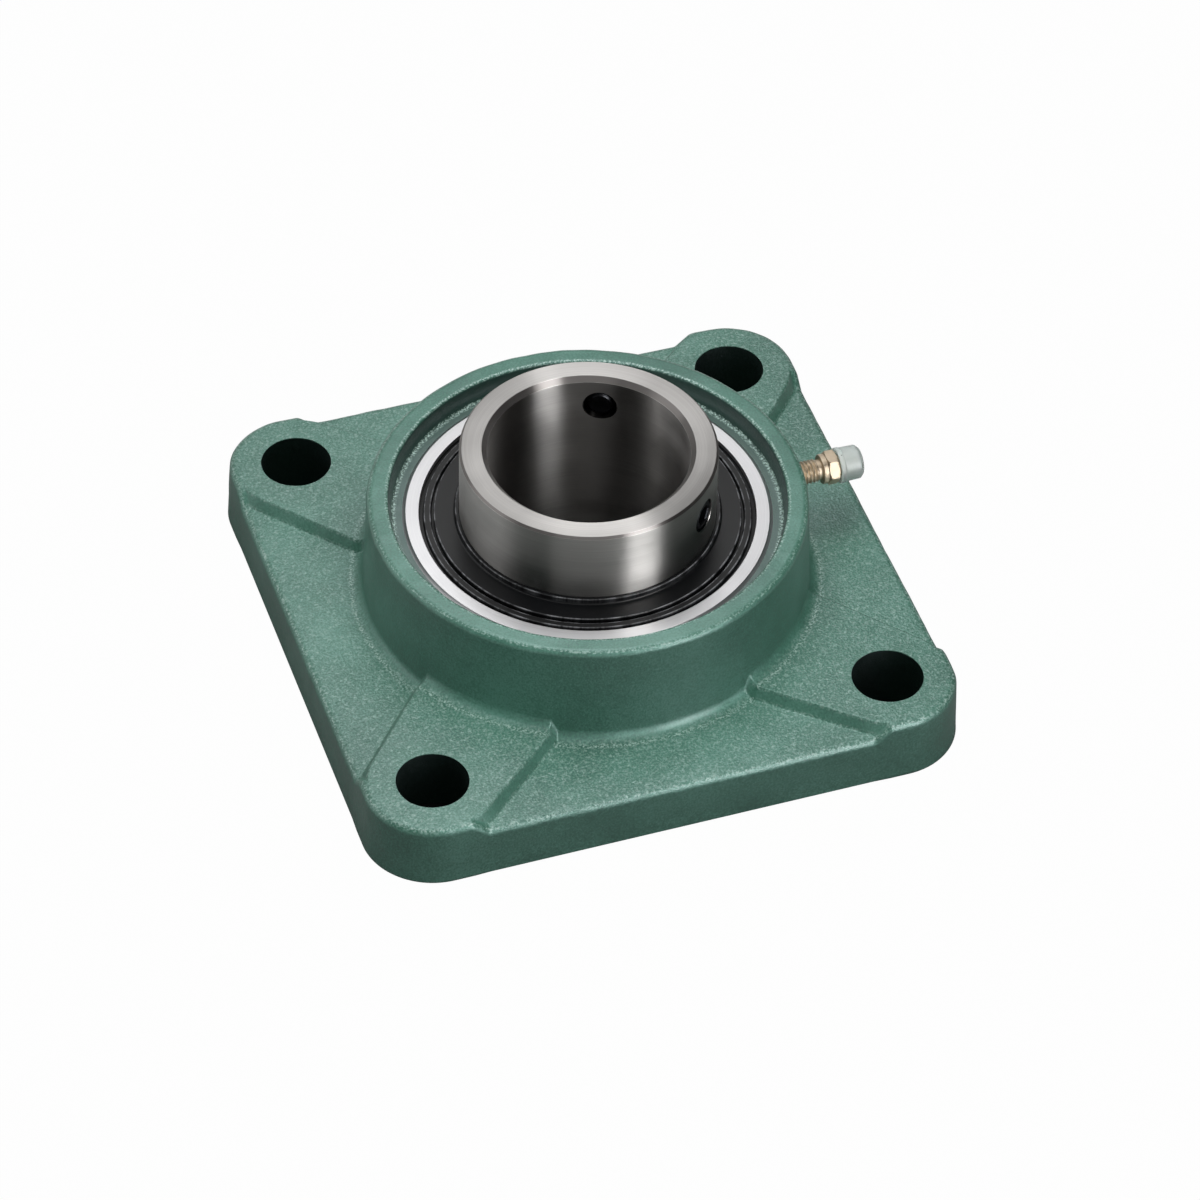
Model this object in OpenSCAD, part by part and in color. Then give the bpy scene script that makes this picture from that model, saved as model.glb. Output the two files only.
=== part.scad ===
// Square four-bolt flange bearing unit with a set-screw insert for a 45 mm shaft.
// The origin lies on the mounting face, at the centre of the bolt pattern, and +Z runs along the shaft.

/* [Flange] */
// Distance between neighbouring bolt holes
bolt_pitch = 105; // [98:0.5:112]
// Radius of the flange's corners, whose centres are the bolt holes
corner_r = 16; // [14:0.25:18]
// Diameter of each bolt hole
bolt_hole_d = 16; // [10:0.5:18]
// Thickness of the flange at its corner pads
pad_h = 15.5; // [14:0.5:18]
// How far the web between the pads lies below them
web_drop = 3; // [1:0.25:4]
// How much a cast side leans in between the mounting face and the pads
side_draft = 0.7; // [0.2:0.1:1.2]
// Rounding along the upper edges of the flange
edge_r = 1.8; // [0.6:0.2:2.4]
// How far the web's sides lie inside the pads' sides
web_inset = 0.2; // [0.1:0.05:0.6]
// How much wider a pad is on each side at its root than at its bolt hole
pad_spread = 2.9; // [1:0.1:4]

/* [Boss] */
// Depth of the mouth from the boss rim to the ledge around the seat
mouth_h = 5; // [4:0.25:7]
// Wall of the boss at its foot, measured from the mouth's floor
boss_wall = 6.7; // [5.8:0.1:9]
// How much the boss leans in from the web to its rim
boss_draft = 1.2; // [0.3:0.1:1.6]
// Rounding of the boss rim
boss_edge_r = 1.5; // [0.6:0.1:2]
// Fillet where the boss meets the web
boss_fillet_r = 2.5; // [1:0.25:4]
// Width of the ledge around the seat at the mouth's floor
ledge_w = 2.37; // [1.2:0.01:3.2]
// Fillet between the ledge and the mouth's wall
ledge_fillet_r = 0.6; // [0.2:0.1:1]
// How much the mouth widens from its floor to its rim
mouth_draft = 0.7; // [0.2:0.1:1]
// Rounding of the mouth's rim
mouth_edge_r = 0.9; // [0.4:0.1:1.2]
// Width of the step around the seat in the mounting face
back_ledge_w = 2.97; // [2:0.01:4]
// Depth of the recess in the mounting face
back_recess_h = 7; // [4:0.5:8]
// Height of the cone between that recess and the seat's rim
back_cone_h = 1.5; // [0.5:0.25:2.5]

/* [Spherical seat] */
// Distance from the mounting face to the back end of the inner ring
back_gap = 3; // [2:0.25:5]
// How much narrower the seat is than the outer ring
seat_step = 1; // [0.5:0.25:4]
// Radial clearance between the seat and the outer ring
seat_clearance = 0.05; // [0.02:0.01:0.1]
// Side and end clearance of the two loading slots around the outer ring
slot_clearance = 0.3; // [0.1:0.05:0.6]

/* [Insert] */
// Shaft bore
bore_d = 45; // [40:0.5:50]
// Wall of the inner ring
inner_wall = 6.1; // [5.5:0.1:7]
// Distance from the seat's centre to the inner ring's back end
inner_back = 19; // [16:0.5:22]
// Distance from the seat's centre to the inner ring's front end
inner_front = 30.2; // [28:0.2:34]
// Gap between the inner ring's outside and the circle through the ball centres
inner_gap = 3.9; // [3.4:0.1:4.4]
// Gap between that circle and the bore of the outer ring
outer_gap = 3.8; // [3.4:0.1:4.3]
// Wall of the outer ring between a ball and its sphere
race_wall = 3.65; // [3.2:0.05:4.5]
// Bevel where the outer ring's faces meet its sphere
outer_bevel = 0.55; // [0.3:0.05:1]
// Bevel at both ends of the shaft bore
bore_bevel = 1.15; // [0.4:0.05:1.5]
// Bevel at both outer edges of the inner ring
ring_bevel = 0.55; // [0.2:0.05:0.8]

/* [Balls and cage] */
// Number of balls
ball_count = 9; // [7:1:9]
// Ball diameter
ball_d = 12.7; // [11.2:0.1:14]
// Clearance between a ball and each raceway
ball_clearance = 0.03; // [0.01:0.01:0.08]
// Raceway groove radius as a multiple of the ball radius
groove_ratio = 1.04; // [1.03:0.01:1.08]
// Clearance between a ball and its cage pocket
pocket_clearance = 0.12; // [0.06:0.02:0.2]
// Thickness of the cage's pressed sheet
cage_t = 0.9; // [0.6:0.1:1.1]
// Clearance between the cage and the shoulders of both rings
cage_gap = 1.25; // [0.9:0.05:1.6]
// Shank diameter of the cage rivets
rivet_d = 1.8; // [1.2:0.1:2.2]
// How far a rivet's head stands out around its shank and above the sheet
rivet_head = 0.7; // [0.4:0.1:0.8]

/* [Seals and slingers] */
// Distance from the cage to the seal
seal_gap = 1.13; // [0.8:0.01:2]
// Width of the shelf in the outer ring that the seal sits on
seal_shelf = 1.25; // [1:0.05:1.4]
// Depth of the groove that the seal's bead snaps into
seal_snap = 0.45; // [0.2:0.05:0.6]
// Thickness of the seal's web
seal_t = 1.2; // [0.9:0.1:1.6]
// Thickness of the seal's lip at its edge
lip_t = 0.4; // [0.3:0.05:0.6]
// Radial length over which the seal thins to its lip
lip_l = 1.4; // [0.8:0.1:2]
// Clearance between the seal's lip and the inner ring
lip_clearance = 0.15; // [0.05:0.05:0.3]
// Gap between the seal's raised rim and the outer ring
rim_gap = 0.95; // [0.6:0.05:1.2]
// Width of the seal's raised rim
rim_w = 1.8; // [1.2:0.1:2.2]
// Bevel along the raised rim's edges
rim_bevel = 0.3; // [0.1:0.05:0.4]
// How far the raised rim lies below the outer ring's face
rim_drop = 0.25; // [0.1:0.05:0.5]
// Gap between the slinger's edge and the seal's rim
slinger_gap = 0.5; // [0.3:0.05:0.8]
// How far the slinger's disc stands above the outer ring's face
slinger_proud = 0.1; // [0:0.05:0.3]
// Gap between the slinger's disc and the seal's web
labyrinth_gap = 0.4; // [0.3:0.05:0.7]
// Thickness of the slinger's disc
slinger_t = 1; // [0.8:0.1:1.4]
// Bevel at the slinger's edges and fillet at its hub
slinger_bevel = 0.3; // [0.1:0.05:0.35]
// Height of the slinger's hub above the outer ring's face
hub_h = 1.4; // [0.8:0.1:2]
// Radial thickness of the slinger's hub
hub_t = 0.95; // [0.7:0.05:1.2]

/* [Set screws] */
// Distance from the inner ring's front end to the set-screw axis
screw_drop = 8; // [6.5:0.25:9]
// Pitch diameter of the set-screw thread, which the plain screw and hole are drawn at
screw_d = 7.35; // [5.3:0.05:7.6]
// Radial clearance of a set screw in its hole
screw_clearance = 0.05; // [0.02:0.01:0.1]
// Angle of the first set screw around the shaft
screw_angle = 65; // [0:5:90]
// Angle from the second set screw to the first
screw_spread = 110; // [60:5:130]
// How far each end of a set screw lies below the ring's surface
screw_sink = 0.35; // [0.1:0.05:0.8]
// Width and length of a set screw's tapered point
screw_point = 1.2; // [0.6:0.1:1.6]
// Depth of the cup in that point
screw_cup_h = 0.5; // [0.2:0.1:0.8]
// Bevel at the socket end of a set screw
screw_bevel = 0.5; // [0.2:0.1:0.8]
// Length of a set screw below its socket
screw_core = 2.6; // [2:0.1:3.4]
// Hexagon socket of a set screw, across its flats
socket_af = 4; // [2.5:0.5:4.5]

/* [Grease nipple] */
// Height of the nipple's axis above the seat's centre
nipple_rise = 8; // [7:0.25:9]
// Pitch diameter of the nipple's thread, which the plain shank and hole are drawn at
nipple_d = 5.35; // [4.6:0.05:5.6]
// How far the nipple's shank is screwed into the boss
nipple_reach = 3.9; // [3.4:0.1:4.6]
// Free space at the end of the nipple's shank
inlet_gap = 0.4; // [0.2:0.1:0.8]
// Length of the shank
shank_l = 9.9; // [8:0.1:11]
// Thickness of the collar
collar_t = 1.2; // [0.8:0.1:1.6]
// Diameter of the collar
collar_d = 6.8; // [6.2:0.1:7]
// Hexagon across its flats
nipple_af = 7; // [6.6:0.1:8]
// Length of the hexagon
nipple_hex_l = 2.6; // [2:0.1:3.4]
// Diameter of the neck
neck_d = 4.7; // [4:0.1:5.2]
// Length of the neck
neck_l = 1.1; // [0.8:0.1:1.4]
// Length of the head beyond the neck
head_l = 3.6; // [3:0.1:4.4]
// Largest diameter of the head
head_d = 6.5; // [6:0.1:6.8]
// Length of the head's widest part
head_band = 0.5; // [0.3:0.1:0.8]
// Diameter of the head's flat end
head_end_d = 3.9; // [3.4:0.1:4.6]
// Clearance between the cap and the head
cap_clearance = 0.08; // [0.04:0.01:0.15]
// Wall of the cap's skirt
cap_wall = 0.77; // [0.6:0.01:1.2]
// Thickness of the cap's end
cap_t = 1; // [0.6:0.1:1.4]
// Bevel around the cap's end
cap_bevel = 0.5; // [0.2:0.1:0.7]
// Gap between the cap and the hexagon
cap_gap = 0.2; // [0.1:0.05:0.5]
// Check ball diameter
check_d = 2.4; // [2:0.1:2.6]
// Diameter of the grease channel through the nipple's ends
channel_d = 1.6; // [1.2:0.1:1.8]
// Clearance between the check ball and its chamber
check_gap = 0.25; // [0.2:0.05:0.4]
// Length of the check ball's conical seat
check_seat_l = 0.8; // [0.5:0.1:1]
// Wall of the nipple at each end of its spring chamber
chamber_end = 1.6; // [1.2:0.1:2]
// Wire diameter of the check spring
spring_wire = 0.36; // [0.3:0.02:0.42]
// Clearance between the check spring and its chamber
spring_gap = 0.12; // [0.08:0.02:0.2]
// Number of spring turns
spring_turns = 8; // [6:1:9]

/* [Grease path] */
// How far the middle of the outer ring's grease groove lies behind the nipple's axis
inlet_offset = 1.2; // [0.6:0.1:1.4]
// Width of the grease groove
groove_w = 3; // [2:0.25:3.4]
// Depth of the grease groove
groove_h = 0.8; // [0.4:0.1:1]
// Diameter of the drilled grease passages
passage_d = 2.4; // [1.6:0.1:2.6]

/* [Hidden] */

$fn = 96;
// Segments around the rounded corners of the cast flange
cast_fn = 32;
// How far a cut runs past the surface that it opens
over = 1;
// Gap between pieces that are pressed or screwed together
press_gap = 0.02;

web_h = pad_h - web_drop;
draft_slope = side_draft / pad_h;
inner_r = bore_d / 2 + inner_wall;
ball_r = ball_d / 2;
ball_pitch_r = inner_r + inner_gap;
groove_r = ball_r * groove_ratio;
inner_race_x = ball_pitch_r - ball_r - ball_clearance + groove_r;
outer_race_x = ball_pitch_r + ball_r + ball_clearance - groove_r;
pocket_r = ball_r + pocket_clearance;
outer_land_r = ball_pitch_r + outer_gap;
outer_r = ball_pitch_r + ball_r + race_wall;
seal_recess_h = seal_t + labyrinth_gap + slinger_t - slinger_proud;
outer_w = 2 * (pocket_r + cage_t + seal_gap + seal_recess_h);
outer_face_r = sqrt(outer_r * outer_r - outer_w * outer_w / 4) - outer_bevel;
seal_recess_r = outer_land_r + seal_shelf;
bead_h = 0.75 * seal_t;
rim_out_r = seal_recess_r - rim_gap;
rim_in_r = rim_out_r - rim_w;
slinger_r = rim_in_r - slinger_gap;
cage_in_r = inner_r + cage_gap;
cage_out_r = outer_land_r - cage_gap;
seat_z = back_gap + inner_back;
seat_r = outer_r + seat_clearance;
seat_w = outer_w - seat_step;
seat_edge_r = sqrt(seat_r * seat_r - seat_w * seat_w / 4);
ledge_z = seat_z + seat_w / 2;
slot_w = outer_w + 2 * slot_clearance;
face_z = seat_z + outer_w / 2;
ring_back_z = seat_z - inner_back;
ring_front_z = seat_z + inner_front;
mouth_r = seat_edge_r + ledge_w;
boss_h = ledge_z + mouth_h;
boss_r = mouth_r + boss_wall;
rim_r = boss_r - boss_draft;
back_recess_r = seat_edge_r + back_ledge_w;
pad_root_x = boss_r - corner_r;
screw_z = ring_front_z - screw_drop;
screw_l = inner_wall - 2 * screw_sink;
nipple_z = seat_z + nipple_rise;
nipple_root = rim_r - nipple_reach;
collar_x = nipple_root + shank_l;
hex_x = collar_x + collar_t;
neck_x = hex_x + nipple_hex_l;
head_end_x = neck_x + neck_l + head_l;
chamber_r = check_d / 2 + check_gap;
chamber_x = nipple_root + chamber_end;
check_seat_x = head_end_x - chamber_end;
channel_r = channel_d / 2;
// The check ball rests on the cone between its chamber and the nipple's mouth
check_cone = atan2(chamber_r - channel_r, check_seat_l);
check_x = check_seat_x + (chamber_r - (check_d / 2 + press_gap) / cos(check_cone)) / tan(check_cone);
groove_offset = nipple_rise - inlet_offset;

function arc(cx, cy, r, from, to, steps) =
    [for (i = [0 : steps]) let (a = from + (to - from) * i / steps) [cx + r * cos(a), cy + r * sin(a)]];

module mirrored_at_seat() {
    translate([0, 0, 2 * seat_z]) mirror([0, 0, 1]) children();
}

module around(angle) {
    rotate([0, 0, angle]) children();
}

module along_nipple(x) {
    translate([x, 0, nipple_z]) rotate([0, 90, 0]) children();
}

// Upright disc with a leaning side and a rounded upper edge, which the flange is blended from
module cast_disc(r, h) {
    top_r = r - draft_slope * h;
    rotate_extrude($fn = cast_fn)
        polygon(concat([[0, 0], [r, 0]],
                       arc(top_r - edge_r, h - edge_r, edge_r, 0, 90, 4),
                       [[0, h]]));
}

module flange_web() {
    hull()
        for (x = [-1, 1], y = [-1, 1])
            translate([x * bolt_pitch / 2, y * bolt_pitch / 2, 0])
                cast_disc(corner_r - web_inset, web_h);
}

module corner_pad(angle) {
    around(angle)
        hull() {
            translate([bolt_pitch / sqrt(2), 0, 0]) cast_disc(corner_r, pad_h);
            translate([pad_root_x, 0, 0]) cast_disc(corner_r + pad_spread, pad_h);
        }
}

module boss() {
    base_z = web_h / 2;
    rotate_extrude()
        polygon(concat([[0, base_z], [boss_r + boss_fillet_r, base_z]],
                       arc(boss_r + boss_fillet_r, web_h + boss_fillet_r, boss_fillet_r, 262, 184, 5),
                       arc(rim_r - boss_edge_r, boss_h - boss_edge_r, boss_edge_r, 3, 90, 4),
                       [[0, boss_h]]));
}

module mouth_cut() {
    lip_r = mouth_r + mouth_draft;
    rotate_extrude()
        polygon(concat([[0, ledge_z]],
                       arc(mouth_r - ledge_fillet_r, ledge_z + ledge_fillet_r, ledge_fillet_r, 270, 360, 3),
                       arc(lip_r + mouth_edge_r, boss_h - mouth_edge_r, mouth_edge_r, 180, 92, 3),
                       [[lip_r + mouth_edge_r, boss_h + over], [0, boss_h + over]]));
}

module back_cut() {
    rotate_extrude()
        polygon([[0, -over], [back_recess_r, -over], [back_recess_r, back_recess_h],
                 [seat_edge_r, back_recess_h + back_cone_h], [seat_edge_r, seat_z], [0, seat_z]]);
}

// Two slots through which the insert is put in on edge and then turned into its seat
module loading_slots() {
    translate([0, 0, -over])
        linear_extrude(seat_z + over)
            intersection() {
                circle(r = seat_r + slot_clearance);
                square([slot_w, 4 * seat_r], center = true);
            }
}

module grease_inlet() {
    along_nipple(nipple_root - inlet_gap) cylinder(d = nipple_d + 2 * press_gap, h = boss_r);
    along_nipple(seat_r / 2) cylinder(d = passage_d, h = nipple_root - seat_r / 2);
}

module housing() {
    color("#3f6b5b")
        difference() {
            union() {
                flange_web();
                for (corner = [0 : 3]) corner_pad(45 + 90 * corner);
                boss();
            }
            for (x = [-1, 1], y = [-1, 1])
                translate([x * bolt_pitch / 2, y * bolt_pitch / 2, -over])
                    cylinder(d = bolt_hole_d, h = pad_h + 2 * over);
            translate([0, 0, seat_z]) sphere(r = seat_r);
            mouth_cut();
            back_cut();
            loading_slots();
            grease_inlet();
        }
}

module nipple_head_profile() {
    head_r = head_d / 2;
    neck_r = neck_d / 2;
    step = head_r - neck_r;
    polygon([[0, -nipple_hex_l / 2], [neck_r + step / 2, -nipple_hex_l / 2], [neck_r + step / 2, 0],
             [neck_r, step / 2], [neck_r, neck_l], [head_r, neck_l + step],
             [head_r, neck_l + step + head_band], [head_end_d / 2, neck_l + head_l], [0, neck_l + head_l]]);
}

module grease_nipple() {
    color("#c2a878")
        difference() {
            union() {
                along_nipple(nipple_root) cylinder(d = nipple_d, h = shank_l + collar_t / 2);
                along_nipple(collar_x) cylinder(d = collar_d, h = collar_t);
                along_nipple(hex_x) cylinder(d = nipple_af / cos(30), h = nipple_hex_l, $fn = 6);
                along_nipple(neck_x) rotate_extrude() nipple_head_profile();
            }
            along_nipple(nipple_root - over) cylinder(r = channel_r, h = head_end_x - nipple_root + 2 * over);
            along_nipple(chamber_x) cylinder(r = chamber_r, h = check_seat_x - chamber_x);
            along_nipple(check_seat_x) cylinder(r1 = chamber_r, r2 = channel_r, h = check_seat_l);
        }
}

module nipple_check_ball() {
    color("#d4d6d8") translate([check_x, 0, nipple_z]) sphere(d = check_d);
}

// Closed tube carried around a helix, with a hexagonal section
module coil(mean_r, wire, pitch, turns, per_turn = 12) {
    sides = 6;
    rings = turns * per_turn;
    points = [for (i = [0 : rings], s = [0 : sides - 1])
        let (a = 360 * i / per_turn, b = 360 * s / sides, r = mean_r + wire / 2 * cos(b))
        [r * cos(a), r * sin(a), pitch * i / per_turn + wire / 2 * sin(b)]];
    walls = [for (i = [0 : rings - 1], s = [0 : sides - 1])
        let (t = (s + 1) % sides)
        [i * sides + s, (i + 1) * sides + s, (i + 1) * sides + t, i * sides + t]];
    first_cap = [for (s = [0 : sides - 1]) s];
    last_cap = [for (s = [sides - 1 : -1 : 0]) rings * sides + s];
    polyhedron(points, concat(walls, [first_cap, last_cap]));
}

module nipple_spring() {
    from_x = chamber_x + spring_wire / 2 + press_gap;
    mean_r = chamber_r - spring_gap - spring_wire / 2;
    rest = sqrt(pow((check_d + spring_wire) / 2 + press_gap, 2) - mean_r * mean_r);
    pitch = (check_x - rest - from_x) / spring_turns;
    color("#b9bcc0") along_nipple(from_x) coil(mean_r, spring_wire, pitch, spring_turns);
}

module nipple_cap() {
    hollow_r = head_d / 2 + cap_clearance;
    cap_r = hollow_r + cap_wall;
    hollow_l = neck_l + head_l + cap_clearance - cap_gap;
    cap_l = hollow_l + cap_t;
    color("#e6ebe8")
        along_nipple(neck_x + cap_gap)
            rotate_extrude()
                polygon([[hollow_r, 0], [cap_r - cap_bevel / 2, 0], [cap_r, cap_bevel / 2],
                         [cap_r, cap_l - cap_bevel], [cap_r - cap_bevel, cap_l], [0, cap_l],
                         [0, hollow_l], [hollow_r, hollow_l]]);
}

// Cut for a seal at the outer ring's front face: a plain bore with a snap groove at its floor
module seal_recess_profile() {
    floor_z = face_z - seal_recess_h;
    polygon([[outer_land_r - over, floor_z], [seal_recess_r + seal_snap, floor_z],
             [seal_recess_r + seal_snap, floor_z + bead_h], [seal_recess_r, floor_z + bead_h + seal_snap],
             [seal_recess_r, face_z + over], [outer_land_r - over, face_z + over]]);
}

module outer_ring_profile() {
    half_w = outer_w / 2;
    // The bevels are carried on past the sphere, and the sphere cuts them off
    reach = half_w / 4;
    difference() {
        intersection() {
            translate([0, seat_z]) circle(r = outer_r);
            polygon([[outer_land_r, seat_z - half_w], [outer_face_r, seat_z - half_w],
                     [outer_face_r + reach, seat_z - half_w + reach], [outer_r + over, seat_z],
                     [outer_face_r + reach, face_z - reach], [outer_face_r, face_z],
                     [outer_land_r, face_z]]);
        }
        translate([outer_race_x, seat_z]) circle(r = groove_r);
        seal_recess_profile();
        translate([0, 2 * seat_z]) mirror([0, 1]) seal_recess_profile();
        translate([sqrt(outer_r * outer_r - groove_offset * groove_offset) - groove_h,
                   seat_z + groove_offset - groove_w / 2])
            square([groove_h + over, groove_w]);
    }
}

module outer_ring() {
    color("#c9ccce")
        difference() {
            rotate_extrude() outer_ring_profile();
            for (side = [0, 180])
                translate([0, 0, seat_z + groove_offset])
                    rotate([0, 90, side])
                        cylinder(d = passage_d, h = outer_r + over);
        }
}

module seal_profile() {
    floor_z = face_z - seal_recess_h + press_gap;
    web_top = floor_z + seal_t;
    bead_top = floor_z + bead_h - 2 * press_gap;
    bead_r = seal_recess_r + seal_snap - 2 * press_gap;
    rim_top = face_z - rim_drop;
    lip_r = inner_r + lip_clearance;
    lip_z = floor_z + (seal_t - lip_t) / 2;
    polygon([[bead_r, floor_z], [bead_r, bead_top], [seal_recess_r - press_gap, bead_top + seal_snap / 2],
             [rim_out_r, web_top], [rim_out_r - rim_bevel / 2, rim_top - rim_bevel],
             [rim_out_r - 1.5 * rim_bevel, rim_top], [rim_in_r + 1.5 * rim_bevel, rim_top],
             [rim_in_r + rim_bevel / 2, rim_top - rim_bevel], [rim_in_r, web_top],
             [lip_r + lip_l, web_top], [lip_r, lip_z + lip_t], [lip_r, lip_z], [lip_r + lip_l, floor_z]]);
}

module front_seal() {
    color("#26282a") rotate_extrude() seal_profile();
}

module rear_seal() {
    color("#26282a") mirrored_at_seat() rotate_extrude() seal_profile();
}

module slinger_profile() {
    top = face_z + slinger_proud;
    low = top - slinger_t;
    hub_top = face_z + hub_h;
    in_r = inner_r + press_gap;
    hub_r = in_r + hub_t;
    polygon([[in_r, low], [slinger_r - slinger_bevel, low], [slinger_r, low + slinger_bevel],
             [slinger_r, top - slinger_bevel], [slinger_r - slinger_bevel, top],
             [hub_r + slinger_bevel, top], [hub_r, top + slinger_bevel], [hub_r, hub_top - slinger_bevel],
             [hub_r - slinger_bevel, hub_top], [in_r, hub_top]]);
}

module front_slinger() {
    color("#303236") rotate_extrude() slinger_profile();
}

module rear_slinger() {
    color("#303236") mirrored_at_seat() rotate_extrude() slinger_profile();
}

module inner_ring_profile() {
    bore_r = bore_d / 2;
    difference() {
        polygon([[bore_r, ring_back_z + bore_bevel], [bore_r + bore_bevel, ring_back_z],
                 [inner_r - ring_bevel, ring_back_z], [inner_r, ring_back_z + ring_bevel],
                 [inner_r, ring_front_z - ring_bevel], [inner_r - ring_bevel, ring_front_z],
                 [bore_r + bore_bevel, ring_front_z], [bore_r, ring_front_z - bore_bevel]]);
        translate([inner_race_x, seat_z]) circle(r = groove_r);
    }
}

module at_screw(angle, r) {
    around(angle) translate([r, 0, screw_z]) rotate([0, 90, 0]) children();
}

module inner_ring() {
    color("#b4b6b8")
        difference() {
            rotate_extrude() inner_ring_profile();
            for (angle = [screw_angle, screw_angle - screw_spread])
                at_screw(angle, bore_d / 4) cylinder(d = screw_d + 2 * screw_clearance, h = inner_r);
        }
}

// Cup-point set screw, drawn plain, with its point towards the shaft
module set_screw(angle) {
    r = screw_d / 2;
    color("#2e2f31")
        at_screw(angle, bore_d / 2 + screw_sink)
            difference() {
                rotate_extrude()
                    polygon([[0, screw_cup_h], [r - 1.25 * screw_point, 0], [r - screw_point, 0],
                             [r, screw_point], [r, screw_l - screw_bevel], [r - screw_bevel, screw_l],
                             [0, screw_l]]);
                translate([0, 0, screw_core]) cylinder(d = socket_af / cos(30), h = screw_l, $fn = 6);
            }
}

module set_screw_a() {
    set_screw(screw_angle);
}

module set_screw_b() {
    set_screw(screw_angle - screw_spread);
}

module at_balls(first = 0) {
    for (i = [0 : ball_count - 1])
        around((i + first) * 360 / ball_count) translate([ball_pitch_r, 0, 0]) children();
}

module pocket_spheres(r) {
    at_balls() sphere(r = r);
}

// One pressed half of the cage, lying on the plane through the ball centres
module cage_half() {
    top = pocket_r + cage_t + over;
    difference() {
        intersection() {
            union() {
                cylinder(r = cage_out_r + over, h = cage_t);
                pocket_spheres(pocket_r + cage_t);
            }
            difference() {
                cylinder(r = cage_out_r, h = top);
                translate([0, 0, -over]) cylinder(r = cage_in_r, h = top + 2 * over);
            }
        }
        pocket_spheres(pocket_r);
        translate([0, 0, -over]) at_balls(0.5) cylinder(d = rivet_d + 2 * press_gap, h = cage_t + 2 * over);
    }
}

module cage_front() {
    color("#a9aaac") translate([0, 0, seat_z]) cage_half();
}

module cage_rear() {
    color("#a9aaac") mirrored_at_seat() translate([0, 0, seat_z]) cage_half();
}

module rivet() {
    shank_r = rivet_d / 2;
    head_r = shank_r + rivet_head;
    head_top = cage_t + rivet_head;
    rotate_extrude()
        polygon([[0, -head_top], [shank_r, -head_top], [head_r, -cage_t - rivet_head / 3], [head_r, -cage_t],
                 [shank_r, -cage_t], [shank_r, cage_t], [head_r, cage_t], [head_r, cage_t + rivet_head / 3],
                 [shank_r, head_top], [0, head_top]]);
}

module cage_rivets() {
    color("#8f9092") translate([0, 0, seat_z]) at_balls(0.5) rivet();
}

module ball(i) {
    color("#d9dcde")
        around((i - 1) * 360 / ball_count)
            translate([ball_pitch_r, 0, seat_z])
                sphere(r = ball_r);
}

housing();
grease_nipple();
nipple_check_ball();
nipple_spring();
nipple_cap();
outer_ring();
front_seal();
rear_seal();
inner_ring();
front_slinger();
rear_slinger();
set_screw_a();
set_screw_b();
cage_front();
cage_rear();
cage_rivets();
for (i = [1 : ball_count]) ball(i);
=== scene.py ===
import logging
import math
from abc import ABC, abstractmethod
from dataclasses import dataclass, field
from enum import Enum
from functools import cached_property
from typing import Any, Sequence

import bpy
import numpy as np
from mathutils import Matrix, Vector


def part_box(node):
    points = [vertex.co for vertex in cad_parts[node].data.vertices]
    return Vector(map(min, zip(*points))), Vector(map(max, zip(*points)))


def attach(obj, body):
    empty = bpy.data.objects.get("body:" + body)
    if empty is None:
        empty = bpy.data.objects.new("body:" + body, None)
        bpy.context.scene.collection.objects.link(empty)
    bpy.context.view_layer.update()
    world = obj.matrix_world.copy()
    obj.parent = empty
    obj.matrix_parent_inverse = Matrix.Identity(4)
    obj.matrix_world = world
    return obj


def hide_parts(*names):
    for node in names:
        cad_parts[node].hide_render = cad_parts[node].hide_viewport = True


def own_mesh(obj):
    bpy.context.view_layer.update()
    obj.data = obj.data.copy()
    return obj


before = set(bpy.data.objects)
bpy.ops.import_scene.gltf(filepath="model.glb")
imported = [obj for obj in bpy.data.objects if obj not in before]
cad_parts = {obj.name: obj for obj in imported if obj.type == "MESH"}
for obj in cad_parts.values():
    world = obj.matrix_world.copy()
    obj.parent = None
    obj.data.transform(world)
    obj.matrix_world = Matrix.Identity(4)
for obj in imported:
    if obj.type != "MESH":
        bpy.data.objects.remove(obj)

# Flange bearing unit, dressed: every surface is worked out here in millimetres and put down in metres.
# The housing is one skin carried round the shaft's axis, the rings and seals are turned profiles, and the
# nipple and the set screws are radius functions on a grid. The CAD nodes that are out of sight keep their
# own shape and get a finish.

logging.basicConfig(level=logging.INFO, format="%(name)s: %(message)s")
log = logging.getLogger("bearing")

MM = 0.001
# Sizes in mm, and angles in degrees, that more than one class needs
HALF_PITCH = 52.5
SEAT_Z = 22.0
BORE_R = 22.5
NIPPLE_Z = 30.0
SCREW_Z = 44.2
SCREW_ANGLES = (65.0, -45.0)
Array = np.ndarray
Pair = tuple[float, float]
Triple = tuple[float, float, float]
Socket = bpy.types.NodeSocket


class Body(str, Enum):
    """The CAD bodies that pieces ride on."""

    HOUSING = "housing"
    CAP = "nipple_cap"
    INSERT = "insert"
    SHAFT_RING = "shaft_ring"
    SCREW_A = "screw_a"
    SCREW_B = "screw_b"


class Slot(str, Enum):
    """Names of material slots, listed with the new pieces."""

    CAST_IRON = "painted_cast_iron"
    GROUND_STEEL = "ground_steel"
    BEARING_STEEL = "bearing_steel"
    RUBBER = "seal_rubber"
    SLINGER = "slinger_coating"
    BLACK_OXIDE = "black_oxide_steel"
    SPRING_STEEL = "spring_steel"
    BRASS = "nipple_brass"
    PLASTIC = "cap_plastic"


# Shapes


def heading(angle: Array | float) -> Array:
    """Directions (cos t, sin t) of angles t in radians."""
    return np.stack([np.cos(angle), np.sin(angle)], -1)


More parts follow.
